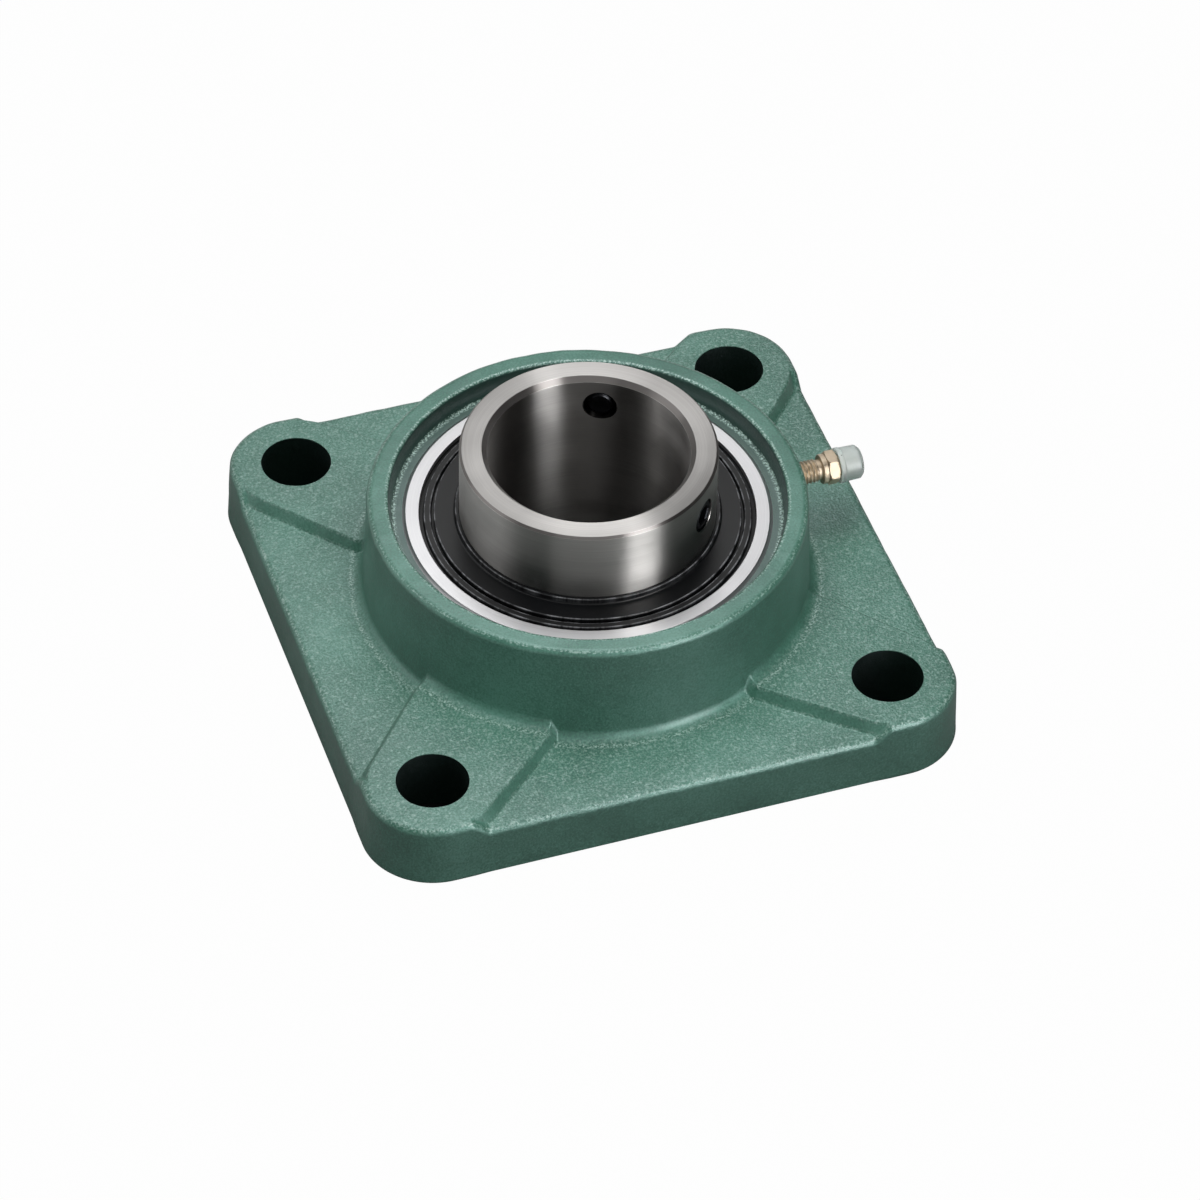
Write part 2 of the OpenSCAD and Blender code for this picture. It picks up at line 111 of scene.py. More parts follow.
def sky(azimuth: Array | float, elevation: Array | float) -> Array:
    """Direction from the part at an azimuth a and an elevation e, in degrees.

    It is (sin a cos e, -cos a cos e, sin e).
    """
    a, e = np.radians(azimuth), np.radians(elevation)
    return np.stack([np.sin(a) * np.cos(e), -np.cos(a) * np.cos(e), np.sin(e)], -1)


def wave_noise(points: Array, shortest: float, longest: float, seed: int, count: int = 28) -> Array:
    """Smooth waviness of a cast skin: the mean of sines along random directions.

    Each wave is sin(k . p + phase), with a wavelength between the two given ones.

    Args:
        points: Places in mm, any shape with 3 as its last side.
        shortest: Shortest wavelength in mm.
        longest: Longest wavelength in mm.
        seed: Fixes the directions and phases.
        count: Number of waves.

    Returns:
        Values of about -1 to 1, one a point.
    """
    rng = np.random.default_rng(seed)
    direction = rng.normal(size=(count, 3))
    direction /= np.linalg.norm(direction, axis=1, keepdims=True)
    wave = direction * (2 * np.pi / np.exp(rng.uniform(np.log(shortest), np.log(longest), count)))[:, None]
    return np.sin(points @ wave.T + rng.uniform(0, 2 * np.pi, count)).sum(-1) / math.sqrt(count)


def rounded(corners: Sequence[Triple], closed: bool = True, steps: int = 5) -> Array:
    """Profile through corners (along, out, radius), each one rounded by an arc tangent to both its sides.

    The arc's centre lies on the bisector at radius / sin(half angle), and its ends lie at
    radius / tan(half angle) from the corner. A point close beyond each end keeps the straight runs flat.

    Args:
        corners: First coordinate, second coordinate and rounding radius, in mm.
        closed: Whether the last corner joins the first.
        steps: Segments in each arc.

    Returns:
        Points of the profile, shaped (n, 2).
    """
    longest_share, beyond_share, beyond_mm, short_share = 0.46, 0.25, 0.02, 0.03
    places = np.array([c[:2] for c in corners], float)
    share = np.linspace(0, 1, steps + 1)[:, None]
    run: list[Array] = []
    for i, (here, (_, _, radius)) in enumerate(zip(places, corners)):
        if radius <= 0 or (not closed and i in (0, len(places) - 1)):
            run.append(here[None])
            continue
        before, after = places[i - 1] - here, places[(i + 1) % len(places)] - here
        lengths = np.linalg.norm(before), np.linalg.norm(after)
        a, b = before / lengths[0], after / lengths[1]
        half = 0.5 * math.acos(float(np.clip(a @ b, -1, 1)))
        reach = min(radius / math.tan(half), longest_share * min(lengths))
        radius = reach * math.tan(half)
        centre = here + (a + b) / np.linalg.norm(a + b) * radius / math.sin(half)
        start, end, turn = here + a * reach - centre, here + b * reach - centre, math.pi - 2 * half
        arc = centre + (np.sin((1 - share) * turn) * start + np.sin(share * turn) * end) / math.sin(turn)
        beyond = min(beyond_share * reach + beyond_mm, short_share * min(lengths))
        run.append(np.vstack([here + a * (reach + beyond), arc, here + b * (reach + beyond)]))
    return np.vstack(run)


def row(plan: Array, height: Array | float) -> Array:
    """Points of one row of a grid: places in plan (n, 2) with their height or heights, in mm."""
    return np.concatenate([plan, np.broadcast_to(height, len(plan))[:, None]], -1)


def stacked(outlines: Sequence[tuple[float | Array, float]], turn: Array) -> Array:
    """Stacks outlines round +Z: the point of an outline at angle t is (radius cos t, radius sin t, height).

    Args:
        outlines: Each outline's radius, or its radii by angle, and its height, in mm.
        turn: The angles t, in radians.

    Returns:
        Points shaped (outlines, angles, 3), in mm.
    """
    return np.stack([row(np.broadcast_to(r, turn.shape)[:, None] * heading(turn), z) for r, z in outlines])


def full_turn(count: int) -> Array:
    """Evenly spaced angles round a full turn, in radians."""
    return np.linspace(0, 2 * np.pi, count, endpoint=False)


def along(points: Array, origin: Sequence[float], axis: Sequence[float]) -> Array:
    """Lays points that were worked out round +Z along another axis.

    Args:
        points: Points in mm, with their own axis as +Z.
        origin: Where their origin goes, in mm.
        axis: Direction that their +Z takes.

    Returns:
        The points in the part's frame.
    """
    w = np.array(axis, float) / np.linalg.norm(axis)
    side = np.cross((0.0, 0.0, 1.0), w)
    u = side / np.linalg.norm(side)
    return points @ np.stack([u, np.cross(w, u), w]) + np.array(origin, float)


def grid_faces(rows: int, columns: int, ring_rows: bool) -> Array:
    """Four-cornered faces of a grid whose columns close on themselves.

    Args:
        rows: Number of rows.
        columns: Number of points in a row.
        ring_rows: Whether the last row joins the first.

    Returns:
        Point numbers shaped (faces, 4).
    """
    i, j = np.meshgrid(np.arange(rows if ring_rows else rows - 1), np.arange(columns), indexing="ij")
    below, beside = (i + 1) % rows, (j + 1) % columns
    return np.stack([i * columns + j, i * columns + beside, below * columns + beside, below * columns + j],
                    -1).reshape(-1, 4)


def put_down(name: str, data: bpy.types.ID) -> bpy.types.Object:
    """Puts a mesh, lamp or camera in the scene as an object."""
    thing = bpy.data.objects.new(name, data)
    bpy.context.scene.collection.objects.link(thing)
    return thing


def surface(name: str, points: Array, polygons: list[list[int]]) -> bpy.types.Mesh:
    """Makes a mesh of points (n, 3) in metres."""
    mesh = bpy.data.meshes.new(name)
    mesh.from_pydata(points.tolist(), [], polygons)
    mesh.update()
    return mesh


def shown(name: str, mesh: bpy.types.Mesh, sharp_deg: float) -> bpy.types.Object:
    """Puts a mesh in the scene, smooth but for edges sharper than the given angle."""
    mesh.shade_smooth()
    mesh.set_sharp_from_angle(angle=math.radians(sharp_deg))
    return put_down(name, mesh)


def mesh_piece(name: str, points: Array, ring_rows: bool = True, sharp_deg: float = 38.0) -> bpy.types.Object:
    """Makes a closed piece of a grid of points in mm.

    An open grid's first and last rows lie on a pole each, whose points are merged into one, and the faces
    there have three corners. Six times the volume is the sum of a . (b x c) over the triangles, and the
    faces are turned round if it is negative.

    Args:
        name: Name of the object and its mesh.
        points: Grid shaped (rows, columns, 3), in mm.
        ring_rows: Whether the last row joins the first.
        sharp_deg: Angle between two faces past which their edge is shown sharp.

    Returns:
        The object, with its place in its mesh.
    """
    rows, columns = points.shape[:2]
    flat = points.reshape(-1, 3) * MM
    faces = grid_faces(rows, columns, ring_rows)
    a, b, c, d = (flat[faces[:, k]] for k in range(4))
    way = -1 if np.sum(a * (np.cross(b, c) + np.cross(c, d))) < 0 else 1
    parts = [faces]
    if not ring_rows:
        last = (rows - 1) * columns
        number = np.clip(np.arange(rows * columns), columns - 1, last) - (columns - 1)
        flat, faces = flat[columns - 1:last + 1], number[faces]
        parts = [faces[:columns, [0, 2, 3]], faces[columns:-columns], faces[-columns:, :3]]
    polygons = [face for part in parts for face in part[:, ::way].tolist()]
    return shown(name, surface(name, flat, polygons), sharp_deg)


def cut_away(piece: bpy.types.Object, cutters: Sequence[bpy.types.Object],
             sharp_deg: float) -> bpy.types.Object:
    """Takes the cutters' volume out of a piece for good and removes the cutters.

    Args:
        piece: The piece to cut.
        cutters: Closed shapes.
        sharp_deg: Angle past which an edge is shown sharp.

    Returns:
        A new piece with the first one's name.
    """
    for cutter in cutters:
        step = piece.modifiers.new(cutter.name, "BOOLEAN")
        step.operation, step.solver, step.object = "DIFFERENCE", "EXACT", cutter
    bpy.context.view_layer.update()
    mesh = bpy.data.meshes.new_from_object(piece.evaluated_get(bpy.context.evaluated_depsgraph_get()))
    name = piece.name
    for old in (piece, *cutters):
        bpy.data.objects.remove(old)
    mesh.name = name
    mesh.materials.clear()
    return shown(name, mesh, sharp_deg)


def drill(name: str, radius: float, start: Sequence[float], axis: Sequence[float], length: float,
          bevel: float = 0.0, sides: int = 96) -> bpy.types.Object:
    """Makes a round cutter, which may flare at its far end to leave a bevel.

    Args:
        name: Name of the cutter.
        radius: Radius in mm.
        start: Centre of its first end, in mm.
        axis: Direction it runs in.
        length: Length in mm up to the flare.
        bevel: How far the far end widens, in mm.
        sides: Points in its circle.

    Returns:
        The cutter.
    """
    step, end = 0.01, length + 3 * bevel + 0.5
    outlines = [(0, 0), (radius, 0), (radius, length), (radius + bevel, length + bevel + step),
                (radius + bevel, end), (0, end)]
    return mesh_piece(name, along(stacked(outlines, full_turn(sides)), start, axis), ring_rows=False)


def thread_radius(angle: Array, along_axis: Array, major: float, minor: float, pitch: float) -> Array:
    """Radius of a screw thread: a flat-topped triangle wave of the place along the helix.

    The phase is place / pitch - angle / turn, its distance to the nearest crest runs from 0 to 1, and
    the radius goes from major to minor over the middle of it.

    Args:
        angle: Angles in radians.
        along_axis: Places along the axis, in mm.
        major: Crest radius in mm.
        minor: Root radius in mm.
        pitch: Pitch in mm.

    Returns:
        Radii, of the shape that the angles and places broadcast to.
    """
    root_share, flank_share = 0.12, 0.7
    phase = np.mod(along_axis / pitch - angle / (2 * np.pi), 1.0)
    flank = np.clip((np.abs(phase - 0.5) * 2 - root_share) / flank_share, 0, 1)
    return minor + (major - minor) * flank


def hexagon_radius(angle: Array, across_flats: float, corner: float) -> Array:
    """Radius of a hexagon whose corners are turned down to the corner radius.

    A side's radius is half the width across flats over the cosine of the angle to the side's middle.
    """
    from_middle = np.mod(angle, np.pi / 3) - np.pi / 6
    return np.minimum(across_flats / 2 / np.cos(from_middle), corner)


# Finishes


def linear(code: str) -> tuple[float, float, float, float]:
    """Turns an sRGB hex colour such as "#3f6b5b" to linear RGBA."""
    parts = [int(code[i:i + 2], 16) / 255 for i in (1, 3, 5)]
    red, green, blue = (p / 12.92 if p <= 0.04045 else ((p + 0.055) / 1.055) ** 2.4 for p in parts)
    return red, green, blue, 1.0


@dataclass
class Recipe:
    """The nodes of one material, with the places on the part that its patterns read."""

    tree: bpy.types.NodeTree

    def feed(self, node: bpy.types.Node, inputs: dict[str | int, Any]) -> None:
        """Links or sets inputs of a node, by name or number. A text value is a colour in hex."""
        for key, value in inputs.items():
            if isinstance(value, Socket):
                self.tree.links.new(value, node.inputs[key])
            else:
                node.inputs[key].default_value = linear(value) if isinstance(value, str) else value

    def add(self, kind: str, *values: Any, out: int | str = 0, **named: Any) -> Socket:
        """Adds a node, sets its settings, sets or links its inputs, and hands back one of its outputs.

        Args:
            kind: Blender's type name, without "ShaderNode".
            *values: Values or output sockets for the inputs that the settings leave in use, in order.
            out: Number of the output among those in use, or its name.
            **named: Settings by their own names, and inputs by theirs, which start with a capital.

        Returns:
            The output socket.
        """
        node = self.tree.nodes.new("ShaderNode" + kind)
        for name, value in named.items():
            if name.islower():
                setattr(node, name, value)
        used = [i for i, socket in enumerate(node.inputs) if socket.enabled]
        self.feed(node, dict(zip(used, values)))
        self.feed(node, {name: value for name, value in named.items() if not name.islower()})
        return node.outputs[out] if isinstance(out, str) else [s for s in node.outputs if s.enabled][out]

    @cached_property
    def shader(self) -> bpy.types.Node:
        """The material's Principled shader."""
        return self.tree.nodes["Principled BSDF"]

    @cached_property
    def place(self) -> Socket:
        """Object coordinates, which are the part's own, in metres."""
        return self.add("TexCoord", out="Object")

    @cached_property
    def plan(self) -> Socket:
        """The place with its height taken away."""
        return self.add("VectorMath", self.place, (1.0, 1.0, 0.0), operation="MULTIPLY")

    @cached_property
    def radius(self) -> Socket:
        """Distance from the shaft's axis."""
        return self.add("VectorMath", self.plan, operation="LENGTH")

    @cached_property
    def height(self) -> Socket:
        """Height over the mounting face."""
        return self.add("SeparateXYZ", self.place, out="Z")

    @cached_property
    def rays(self) -> tuple[Socket, Socket, Socket]:
        """Whether a ray comes from the camera, from a glossy surface or through glass."""
        node = self.add("LightPath", out="Is Camera Ray").node
        return tuple(node.outputs[f"Is {kind} Ray"] for kind in ("Camera", "Glossy", "Transmission"))

    def near(self, value: Socket, centre_mm: float, reach_mm: float) -> Socket:
        """How near a distance is to a centre: 1 there, and down to 0 at the reach on both sides."""
        off = self.add("Math", value, centre_mm * MM, operation="SUBTRACT")
        off = self.add("Math", off, operation="ABSOLUTE")
        return self.add("MapRange", off, 0.0, reach_mm * MM, 1.0, 0.0)

    def turned(self, squeeze: float) -> Socket:
        """Coordinates in which a pattern becomes lines that run round the shaft's axis.

        They are (distance from the axis, 0, height) plus the direction from the axis over the squeeze, so a
        noise on them changes quickly across the lines and slowly along them.
        """
        outward = self.add("VectorMath", self.plan, operation="NORMALIZE")
        slow = self.add("VectorMath", outward, 1 / squeeze, operation="SCALE")
        across = self.add("CombineXYZ", self.radius, 0.0, self.height)
        return self.add("VectorMath", across, slow, operation="ADD")

    def past_square(self, half_mm: float, inside: bool = False) -> Socket:
        """Distance in plan from a square about the shaft's axis, or from its nearest corner.

        It is the length of max(|p| - half, 0), or of |p| - half if places inside the square count too.

        Args:
            half_mm: Half the square's side in mm.
            inside: Whether to measure from the corner.

        Returns:
            The distance in metres.
        """
        mirrored = self.add("VectorMath", self.plan, operation="ABSOLUTE")
        past = self.add("VectorMath", mirrored, (half_mm * MM, half_mm * MM, 0.0), operation="SUBTRACT")
        if not inside:
            past = self.add("VectorMath", past, (0.0, 0.0, 0.0), operation="MAXIMUM")
        return self.add("VectorMath", past, operation="LENGTH")


@dataclass(frozen=True)
class Finish(ABC):
    """A surface finish: it builds one material and gives it to pieces."""

    name: str
    roughness: float

    @abstractmethod
    def paint(self, recipe: Recipe) -> None:
        """Adds the finish's pattern to a material whose shader is there already."""

    def worn_roughness(self, recipe: Recipe, pattern: Socket, less: float, more: float) -> Socket:
        """Roughness from less below to more above the finish's own, as a pattern goes from 0.3 to 0.7."""
        return recipe.add("MapRange", pattern, 0.3, 0.7, self.roughness - less, self.roughness + more)

    def material(self) -> bpy.types.Material:
        """Builds the material on first use and returns it."""
        found = bpy.data.materials.get(self.name)
        if found:
            return found
        made = bpy.data.materials.new(self.name)
        made.use_nodes = True
        recipe = Recipe(made.node_tree)
        recipe.feed(recipe.shader, {"Roughness": self.roughness})
        self.paint(recipe)
        return made

    def dress(self, *pieces: bpy.types.Object) -> None:
        """Puts the finish on each piece, CAD nodes among them."""
        for piece in pieces:
            for i in range(len(piece.data.materials)):
                piece.data.materials[i] = self.material()
            if not piece.data.materials:
                piece.data.materials.append(self.material())


@dataclass(frozen=True)
class SandCastPaint(Finish):
    """Sprayed enamel on sand-cast iron: grains of about half a millimetre under a satin coat, which
    sparkle where they catch a lamp, with pale specks on the grains along the edges and glints on the flats
    that are painted highlights.

    The inside of the mouth and the bolt holes are darkened with painted shade.
    """

    deep: str = "#3b6555"
    body: str = "#467664"
    pale: str = "#558675"
    # Painted highlight: the pale green of the highlight specks and glints
    wear_and_highlight: str = "#a9c4ba"
    ledge: str = "#40564d"
    # Painted shade inside the mouth
    mouth_shade: str = "#1d382f"
    # Painted shade in the bolt holes
    hole_shade: str = "#0f1e18"
    grain_mm: float = 0.5
    glint_mm: float = 0.75
    lump_mm: float = 4.0
    pit_mm: float = 1.5
    # Bands with painted highlight specks: the distance in plan of their middle, and their reach
    edge_mm: Pair = (14.6, 0.6)
    rim_mm: Pair = (48.6, 0.7)
    mouth_mm: Pair = (44.75, 0.55)
    ledge_foot_mm: Pair = (43.3, 0.8)
    root_mm: Pair = (52.9, 0.8)
    # Where a region starts, or fades in
    half_pitch_mm: float = HALF_PITCH
    hole_mm: float = 8.05
    edge_margin_mm: float = 0.1
    ledge_mm: float = 43.5
    inside_mm: Pair = (44.3, 44.6)
    boss_mm: Pair = (50.8, 52.2)
    edge_z_mm: Pair = (11.2, 11.9)
    rim_z_mm: float = 37.1
    ledge_z_mm: float = 33.0
    pad_z_mm: float = 15.3
    flat_z_mm: Pair = (15.5, 12.5)
    flat_reach_mm: float = 0.8
    # Levels of a pattern between which a speck, a glint, a tone or a pit comes in
    speck_levels: Pair = (0.47, 0.62)
    glint_levels: Pair = (0.51, 0.72)
    glint_share: float = 0.55
    tone_levels: Pair = (0.6, 1.4)
    pit_levels: Pair = (0.0, 0.22)
    grain_strength: Pair = (0.3, 0.9)
    mouth_shade_share: float = 0.95
    # How strong the painted highlight specks are, from 0 to 1 and past it where the pattern is to saturate
    edge_highlight: float = 0.6
    rim_highlight: float = 0.7
    foot_highlight: float = 1.6
    root_highlight: float = 0.8
    flat_highlight: float = 0.16

    def flats(self, recipe: Recipe) -> Socket:
        """Finds the tops of the pads and webs, whose grain is coarse, short of the edge rounding."""
        add = recipe.add
        levels = [recipe.near(recipe.height, z, self.flat_reach_mm) for z in self.flat_z_mm]
        flats = add("Math", add("Math", *levels, operation="ADD"), 2.0, operation="MULTIPLY", use_clamp=True)
        beyond = add("MapRange", recipe.radius, *(r * MM for r in self.boss_mm))
        past = recipe.past_square(self.half_pitch_mm)
        within = add("Math", past, (self.edge_mm[0] + self.edge_margin_mm) * MM, operation="LESS_THAN")
        return add("Math", flats, add("Math", beyond, within, operation="MULTIPLY"), operation="MULTIPLY")

    def wear_and_sheen(self, recipe: Recipe, flats: Socket, low: Socket) -> Socket:
        """Finds where pale specks are painted on the grains as highlights, as the sum of the places' shares.

        Args:
            recipe: The material's nodes.
            flats: Where the tops of the pads and webs are.
            low: Where a place is no higher than the ledge round the insert.

        Returns:
            The share of painted highlight along the flange's upper edge, both edges of the rim, the foot of
            the mouth's wall and the foot of the boss, and a little on the flats.
        """
        add, radius, height = recipe.add, recipe.radius, recipe.height
        top = add("MapRange", height, *(z * MM for z in self.edge_z_mm))
        edge = add("Math", recipe.near(recipe.past_square(self.half_pitch_mm), *self.edge_mm), top,
                   operation="MULTIPLY")
        rims = add("Math", recipe.near(radius, *self.rim_mm), self.rim_highlight,
                   recipe.near(radius, *self.mouth_mm), operation="MULTIPLY_ADD")
        high = add("Math", height, self.rim_z_mm * MM, operation="GREATER_THAN")
        rims = add("Math", rims, high, operation="MULTIPLY")
        foot = add("Math", recipe.near(radius, *self.ledge_foot_mm), low, operation="MULTIPLY")
        root = add("Math", recipe.near(radius, *self.root_mm), flats, operation="MULTIPLY")
        wear_and_highlight = add("Math", edge, self.edge_highlight, rims, operation="MULTIPLY_ADD")
        for place, share in ((foot, self.foot_highlight), (root, self.root_highlight)):
            wear_and_highlight = add("Math", place, share, wear_and_highlight, operation="MULTIPLY_ADD", use_clamp=True)
        return add("Math", flats, self.flat_highlight, wear_and_highlight, operation="MULTIPLY_ADD")

    def greens(self, recipe: Recipe, grain: Socket) -> Socket:
        """Three greens that follow the grain and larger patches."""
        patches = recipe.add("TexNoise", recipe.place, Scale=45.0, Detail=4.0, Roughness=0.55)
        tone = recipe.add("Math", grain, patches, operation="ADD")
        green = recipe.add("ValToRGB", recipe.add("MapRange", tone, *self.tone_levels))
        stops = green.node.color_ramp.elements
        stops[0].position, stops[0].color = 0.2, linear(self.deep)
        stops[1].position, stops[1].color = 0.8, linear(self.pale)
        stops.new(0.5).color = linear(self.body)
        return green

    def paint(self, recipe: Recipe) -> None:
        """Grains, pits and lumps in the bump, greens that follow them, painted highlights and painted shade.
        """
        add, place, radius = recipe.add, recipe.place, recipe.radius
        grain = add("TexNoise", place, Scale=1 / (self.grain_mm * MM), Roughness=0.55)
        flats = self.flats(recipe)
        low = add("Math", recipe.height, self.ledge_z_mm * MM, operation="LESS_THAN")
        # Painted highlights: pale specks on the grains along the edges, and sparse glints on the flats
        speck = add("MapRange", grain, *self.speck_levels)
        speck = add("Math", speck, self.wear_and_sheen(recipe, flats, low), operation="MULTIPLY")
        glint = add("TexNoise", place, Scale=1 / (self.glint_mm * MM), Detail=3.0, Roughness=0.65)
        glint = add("MapRange", glint, *self.glint_levels, 0.0, self.glint_share)
        speck = add("Math", glint, flats, speck, operation="MULTIPLY_ADD")
        # Painted shade: darker green inside the mouth; and the ledge's own greyer green
        mouth_shade = add("MapRange", radius, *(r * MM for r in self.inside_mm), self.mouth_shade_share, 0.0)
        ledge = add("Math", radius, self.ledge_mm * MM, operation="LESS_THAN")
        ledge = add("Math", ledge, low, operation="MULTIPLY")
        # Painted shade in the bolt holes
        hole = add("Math", recipe.past_square(self.half_pitch_mm, inside=True), self.hole_mm * MM,
                   operation="LESS_THAN")
        below = add("Math", recipe.height, self.pad_z_mm * MM, operation="LESS_THAN")
        hole = add("Math", hole, below, operation="MULTIPLY")
        tone = self.greens(recipe, grain)
        for share, colour in ((mouth_shade, self.mouth_shade), (ledge, self.ledge), (speck, self.wear_and_highlight),
                              (hole, self.hole_shade)):
            tone = add("Mix", share, tone, colour, data_type="RGBA")
        # Relief, from the largest to the finest
        lumps = add("TexNoise", place, Scale=1 / (self.lump_mm * MM))
        pits = add("TexVoronoi", place, Scale=1 / (self.pit_mm * MM))
        pits = add("MapRange", pits, *self.pit_levels)
        relief = add("Bump", Strength=0.5, Distance=0.3 * MM, Height=lumps)
        relief = add("Bump", Strength=0.3, Distance=0.1 * MM, Height=pits, Normal=relief)
        coarse = add("MapRange", flats, 0.0, 1.0, *self.grain_strength)
        relief = add("Bump", Strength=coarse, Distance=0.2 * MM, Height=grain, Normal=relief)
        recipe.feed(recipe.shader, {
            "Base Color": tone, "Roughness": self.worn_roughness(recipe, grain, 0.08, 0.1),
            "Normal": relief, "Coat Normal": relief, "Coat Weight": 0.35, "Coat Roughness": 0.2,
            "Specular IOR Level": 0.7, "Specular Tint": "#e2f5ff"})


@dataclass(frozen=True)
class TurnedSteel(Finish):
    """Chrome bearing steel, ground round the axis: fine lines that stretch every highlight across them,
    and faint bands where the wheel dwelt."""

    colour: str = "#b0aeac"
    dark: str = "#908e8c"
    line_mm: float = 0.16
    band_mm: float = 3.0
    band_levels: Pair = (0.7, 1.3)
    squeeze: float = 6000.0
    slope: float = 0.03
    stretch: float = 1.0
    bevel: str = "#757270"
    bevels_mm: tuple[tuple[float, float, str], ...] = (
        (51.68, 28.1, "GREATER_THAN"), (51.1, 23.58, "LESS_THAN"))
    # Painted shade in the tapped holes
    tapped: str = "#2c2b2a"
    taps: tuple[float, ...] = ()
    tap_z_mm: float = SCREW_Z
    tap_r_mm: float = 3.9

    def unground_and_hole_shade(self, recipe: Recipe, tone: Socket) -> Socket:
        """Darkens the bevels of a tapped ring's front end, which the wheel doesn't reach, and paints shade
        into the holes.

        A bevel is above its lower edge and past its inner or outer radius. A tapped hole's places are those
        whose distance to the hole's axis, |(p - centre) x axis|, is small.
        """
        if not self.taps:
            return tone
        add = recipe.add
        for low, edge, side in self.bevels_mm:
            past = add("Math", recipe.radius, edge * MM, operation=side)
            above = add("Math", recipe.height, low * MM, operation="GREATER_THAN")
            past = add("Math", past, above, operation="MULTIPLY")
            tone = add("Mix", past, tone, self.bevel, data_type="RGBA")
        # Painted shade: the wall of each tapped hole gets a dark colour
        for angle in np.radians(self.taps):
            axis = (math.cos(angle), math.sin(angle), 0.0)
            off = add("VectorMath", recipe.place, (0.0, 0.0, self.tap_z_mm * MM), operation="SUBTRACT")
            off = add("VectorMath", off, axis, operation="CROSS_PRODUCT")
            inside = add("Math", add("VectorMath", off, operation="LENGTH"), self.tap_r_mm * MM,
                         operation="LESS_THAN")
            facing = add("Math", add("VectorMath", recipe.place, axis, operation="DOT_PRODUCT"), 0.0,
                         operation="GREATER_THAN")
            inside = add("Math", inside, facing, operation="MULTIPLY")
            tone = add("Mix", inside, tone, self.tapped, data_type="RGBA")
        return tone

    def paint(self, recipe: Recipe) -> None:
        """Lines round the axis in bump and roughness, over a metal with a circular grain."""
        add, turned = recipe.add, recipe.turned(self.squeeze)
        lines = add("TexNoise", turned, Scale=1 / (self.line_mm * MM), Roughness=0.6)
        bands = add("TexNoise", turned, Scale=1 / (self.band_mm * MM))
        smudge = add("TexNoise", recipe.place, Scale=120.0, Detail=5.0)
        tone = add("Mix", lines, self.dark, self.colour, data_type="RGBA")
        wear_and_sheen = add("MapRange", add("Math", bands, smudge, operation="ADD"), *self.band_levels,
                   self.roughness - 0.04, self.roughness + 0.04)
        recipe.feed(recipe.shader, {
            "Base Color": self.unground_and_hole_shade(recipe, tone), "Metallic": 1.0, "Roughness": wear_and_sheen,
            "Normal": add("Bump", Strength=1.0, Distance=self.slope * self.line_mm * MM, Height=lines),
            "Anisotropic": self.stretch, "Anisotropic Rotation": 0.25,
            "Tangent": add("Tangent", direction_type="RADIAL", axis="Z")})


@dataclass(frozen=True)
class MouldedRubber(Finish):
    """Nitrile rubber from a turned mould: near black, with a soft sheen and the mould's turning lines."""

    colour: str = "#101112"
    dark: str = "#08090a"
    line_mm: float = 0.35
    squeeze: float = 700.0
    grain_mm: float = 0.4
    sheen: float = 0.25
    # Painted highlight: pale rings on the raised edges
    painted_ring_highlight: str = "#a6a8ac"
    highlight_rings_mm: tuple[float, ...] = ()
    highlight_ring_reach_mm: float = 0.2
    break_levels: tuple[float, float, float, float] = (0.42, 0.6, 0.05, 0.7)

    def ring_highlights(self, recipe: Recipe, tone: Socket) -> Socket:
        """Adds thin broken pale rings at the given radii: painted highlights on the raised edges."""
        add = recipe.add
        outward = add("VectorMath", recipe.plan, operation="NORMALIZE")
        breaks = add("TexNoise", outward, Scale=9.0, Detail=5.0, Roughness=0.7)
        breaks = add("MapRange", breaks, *self.break_levels)
        for ring_mm in self.highlight_rings_mm:
            ring = recipe.near(recipe.radius, ring_mm, self.highlight_ring_reach_mm)
            ring = add("Math", ring, breaks, operation="MULTIPLY")
            tone = add("Mix", ring, tone, self.painted_ring_highlight, data_type="RGBA")
        return tone

    def paint(self, recipe: Recipe) -> None:
        """Turning lines and a fine grain in the bump, a grey bloom, and painted highlight rings on the raised
        edges.
        """
        add = recipe.add
        lines = add("TexNoise", recipe.turned(self.squeeze), Scale=1 / (self.line_mm * MM))
        grain = add("TexNoise", recipe.place, Scale=1 / (self.grain_mm * MM), Detail=3.0)
        bloom = add("TexNoise", recipe.place, Scale=90.0, Detail=4.0)
        tone = add("Mix", bloom, self.dark, self.colour, data_type="RGBA")
        relief = add("Bump", Strength=0.35, Distance=0.03 * MM, Height=lines)
        recipe.feed(recipe.shader, {
            "Base Color": self.ring_highlights(recipe, tone), "Specular IOR Level": self.sheen,
            "Roughness": self.worn_roughness(recipe, grain, 0.02, 0.04),
            "Normal": add("Bump", Strength=0.04, Distance=0.02 * MM, Height=grain, Normal=relief)})


@dataclass(frozen=True)
class BlackOxide(Finish):
    """Blackened steel: a dark oxide of even tone over machining marks, with a low oily shine."""

    colour: str = "#26272a"
    wear_and_highlight: str = "#4a4b4e"
    cloud_mm: float = 2.2
    worn_levels: Pair = (0.5, 0.75)
    mark_mm: float = 0.3

    def paint(self, recipe: Recipe) -> None:
        """Cloudy oxide with paler worn spots."""
        add = recipe.add
        cloud = add("TexNoise", recipe.place, Scale=1 / (self.cloud_mm * MM), Detail=5.0)
        marks = add("TexNoise", recipe.place, Scale=1 / (self.mark_mm * MM), Detail=3.0)
        wear_and_highlight = add("MapRange", cloud, *self.worn_levels)
        recipe.feed(recipe.shader, {
            "Base Color": add("Mix", wear_and_highlight, self.colour, self.wear_and_highlight, data_type="RGBA"), "Metallic": 1.0,
            "Roughness": self.worn_roughness(recipe, marks, 0.06, 0.08),
            "Normal": add("Bump", Strength=0.4, Distance=0.02 * MM, Height=marks)})


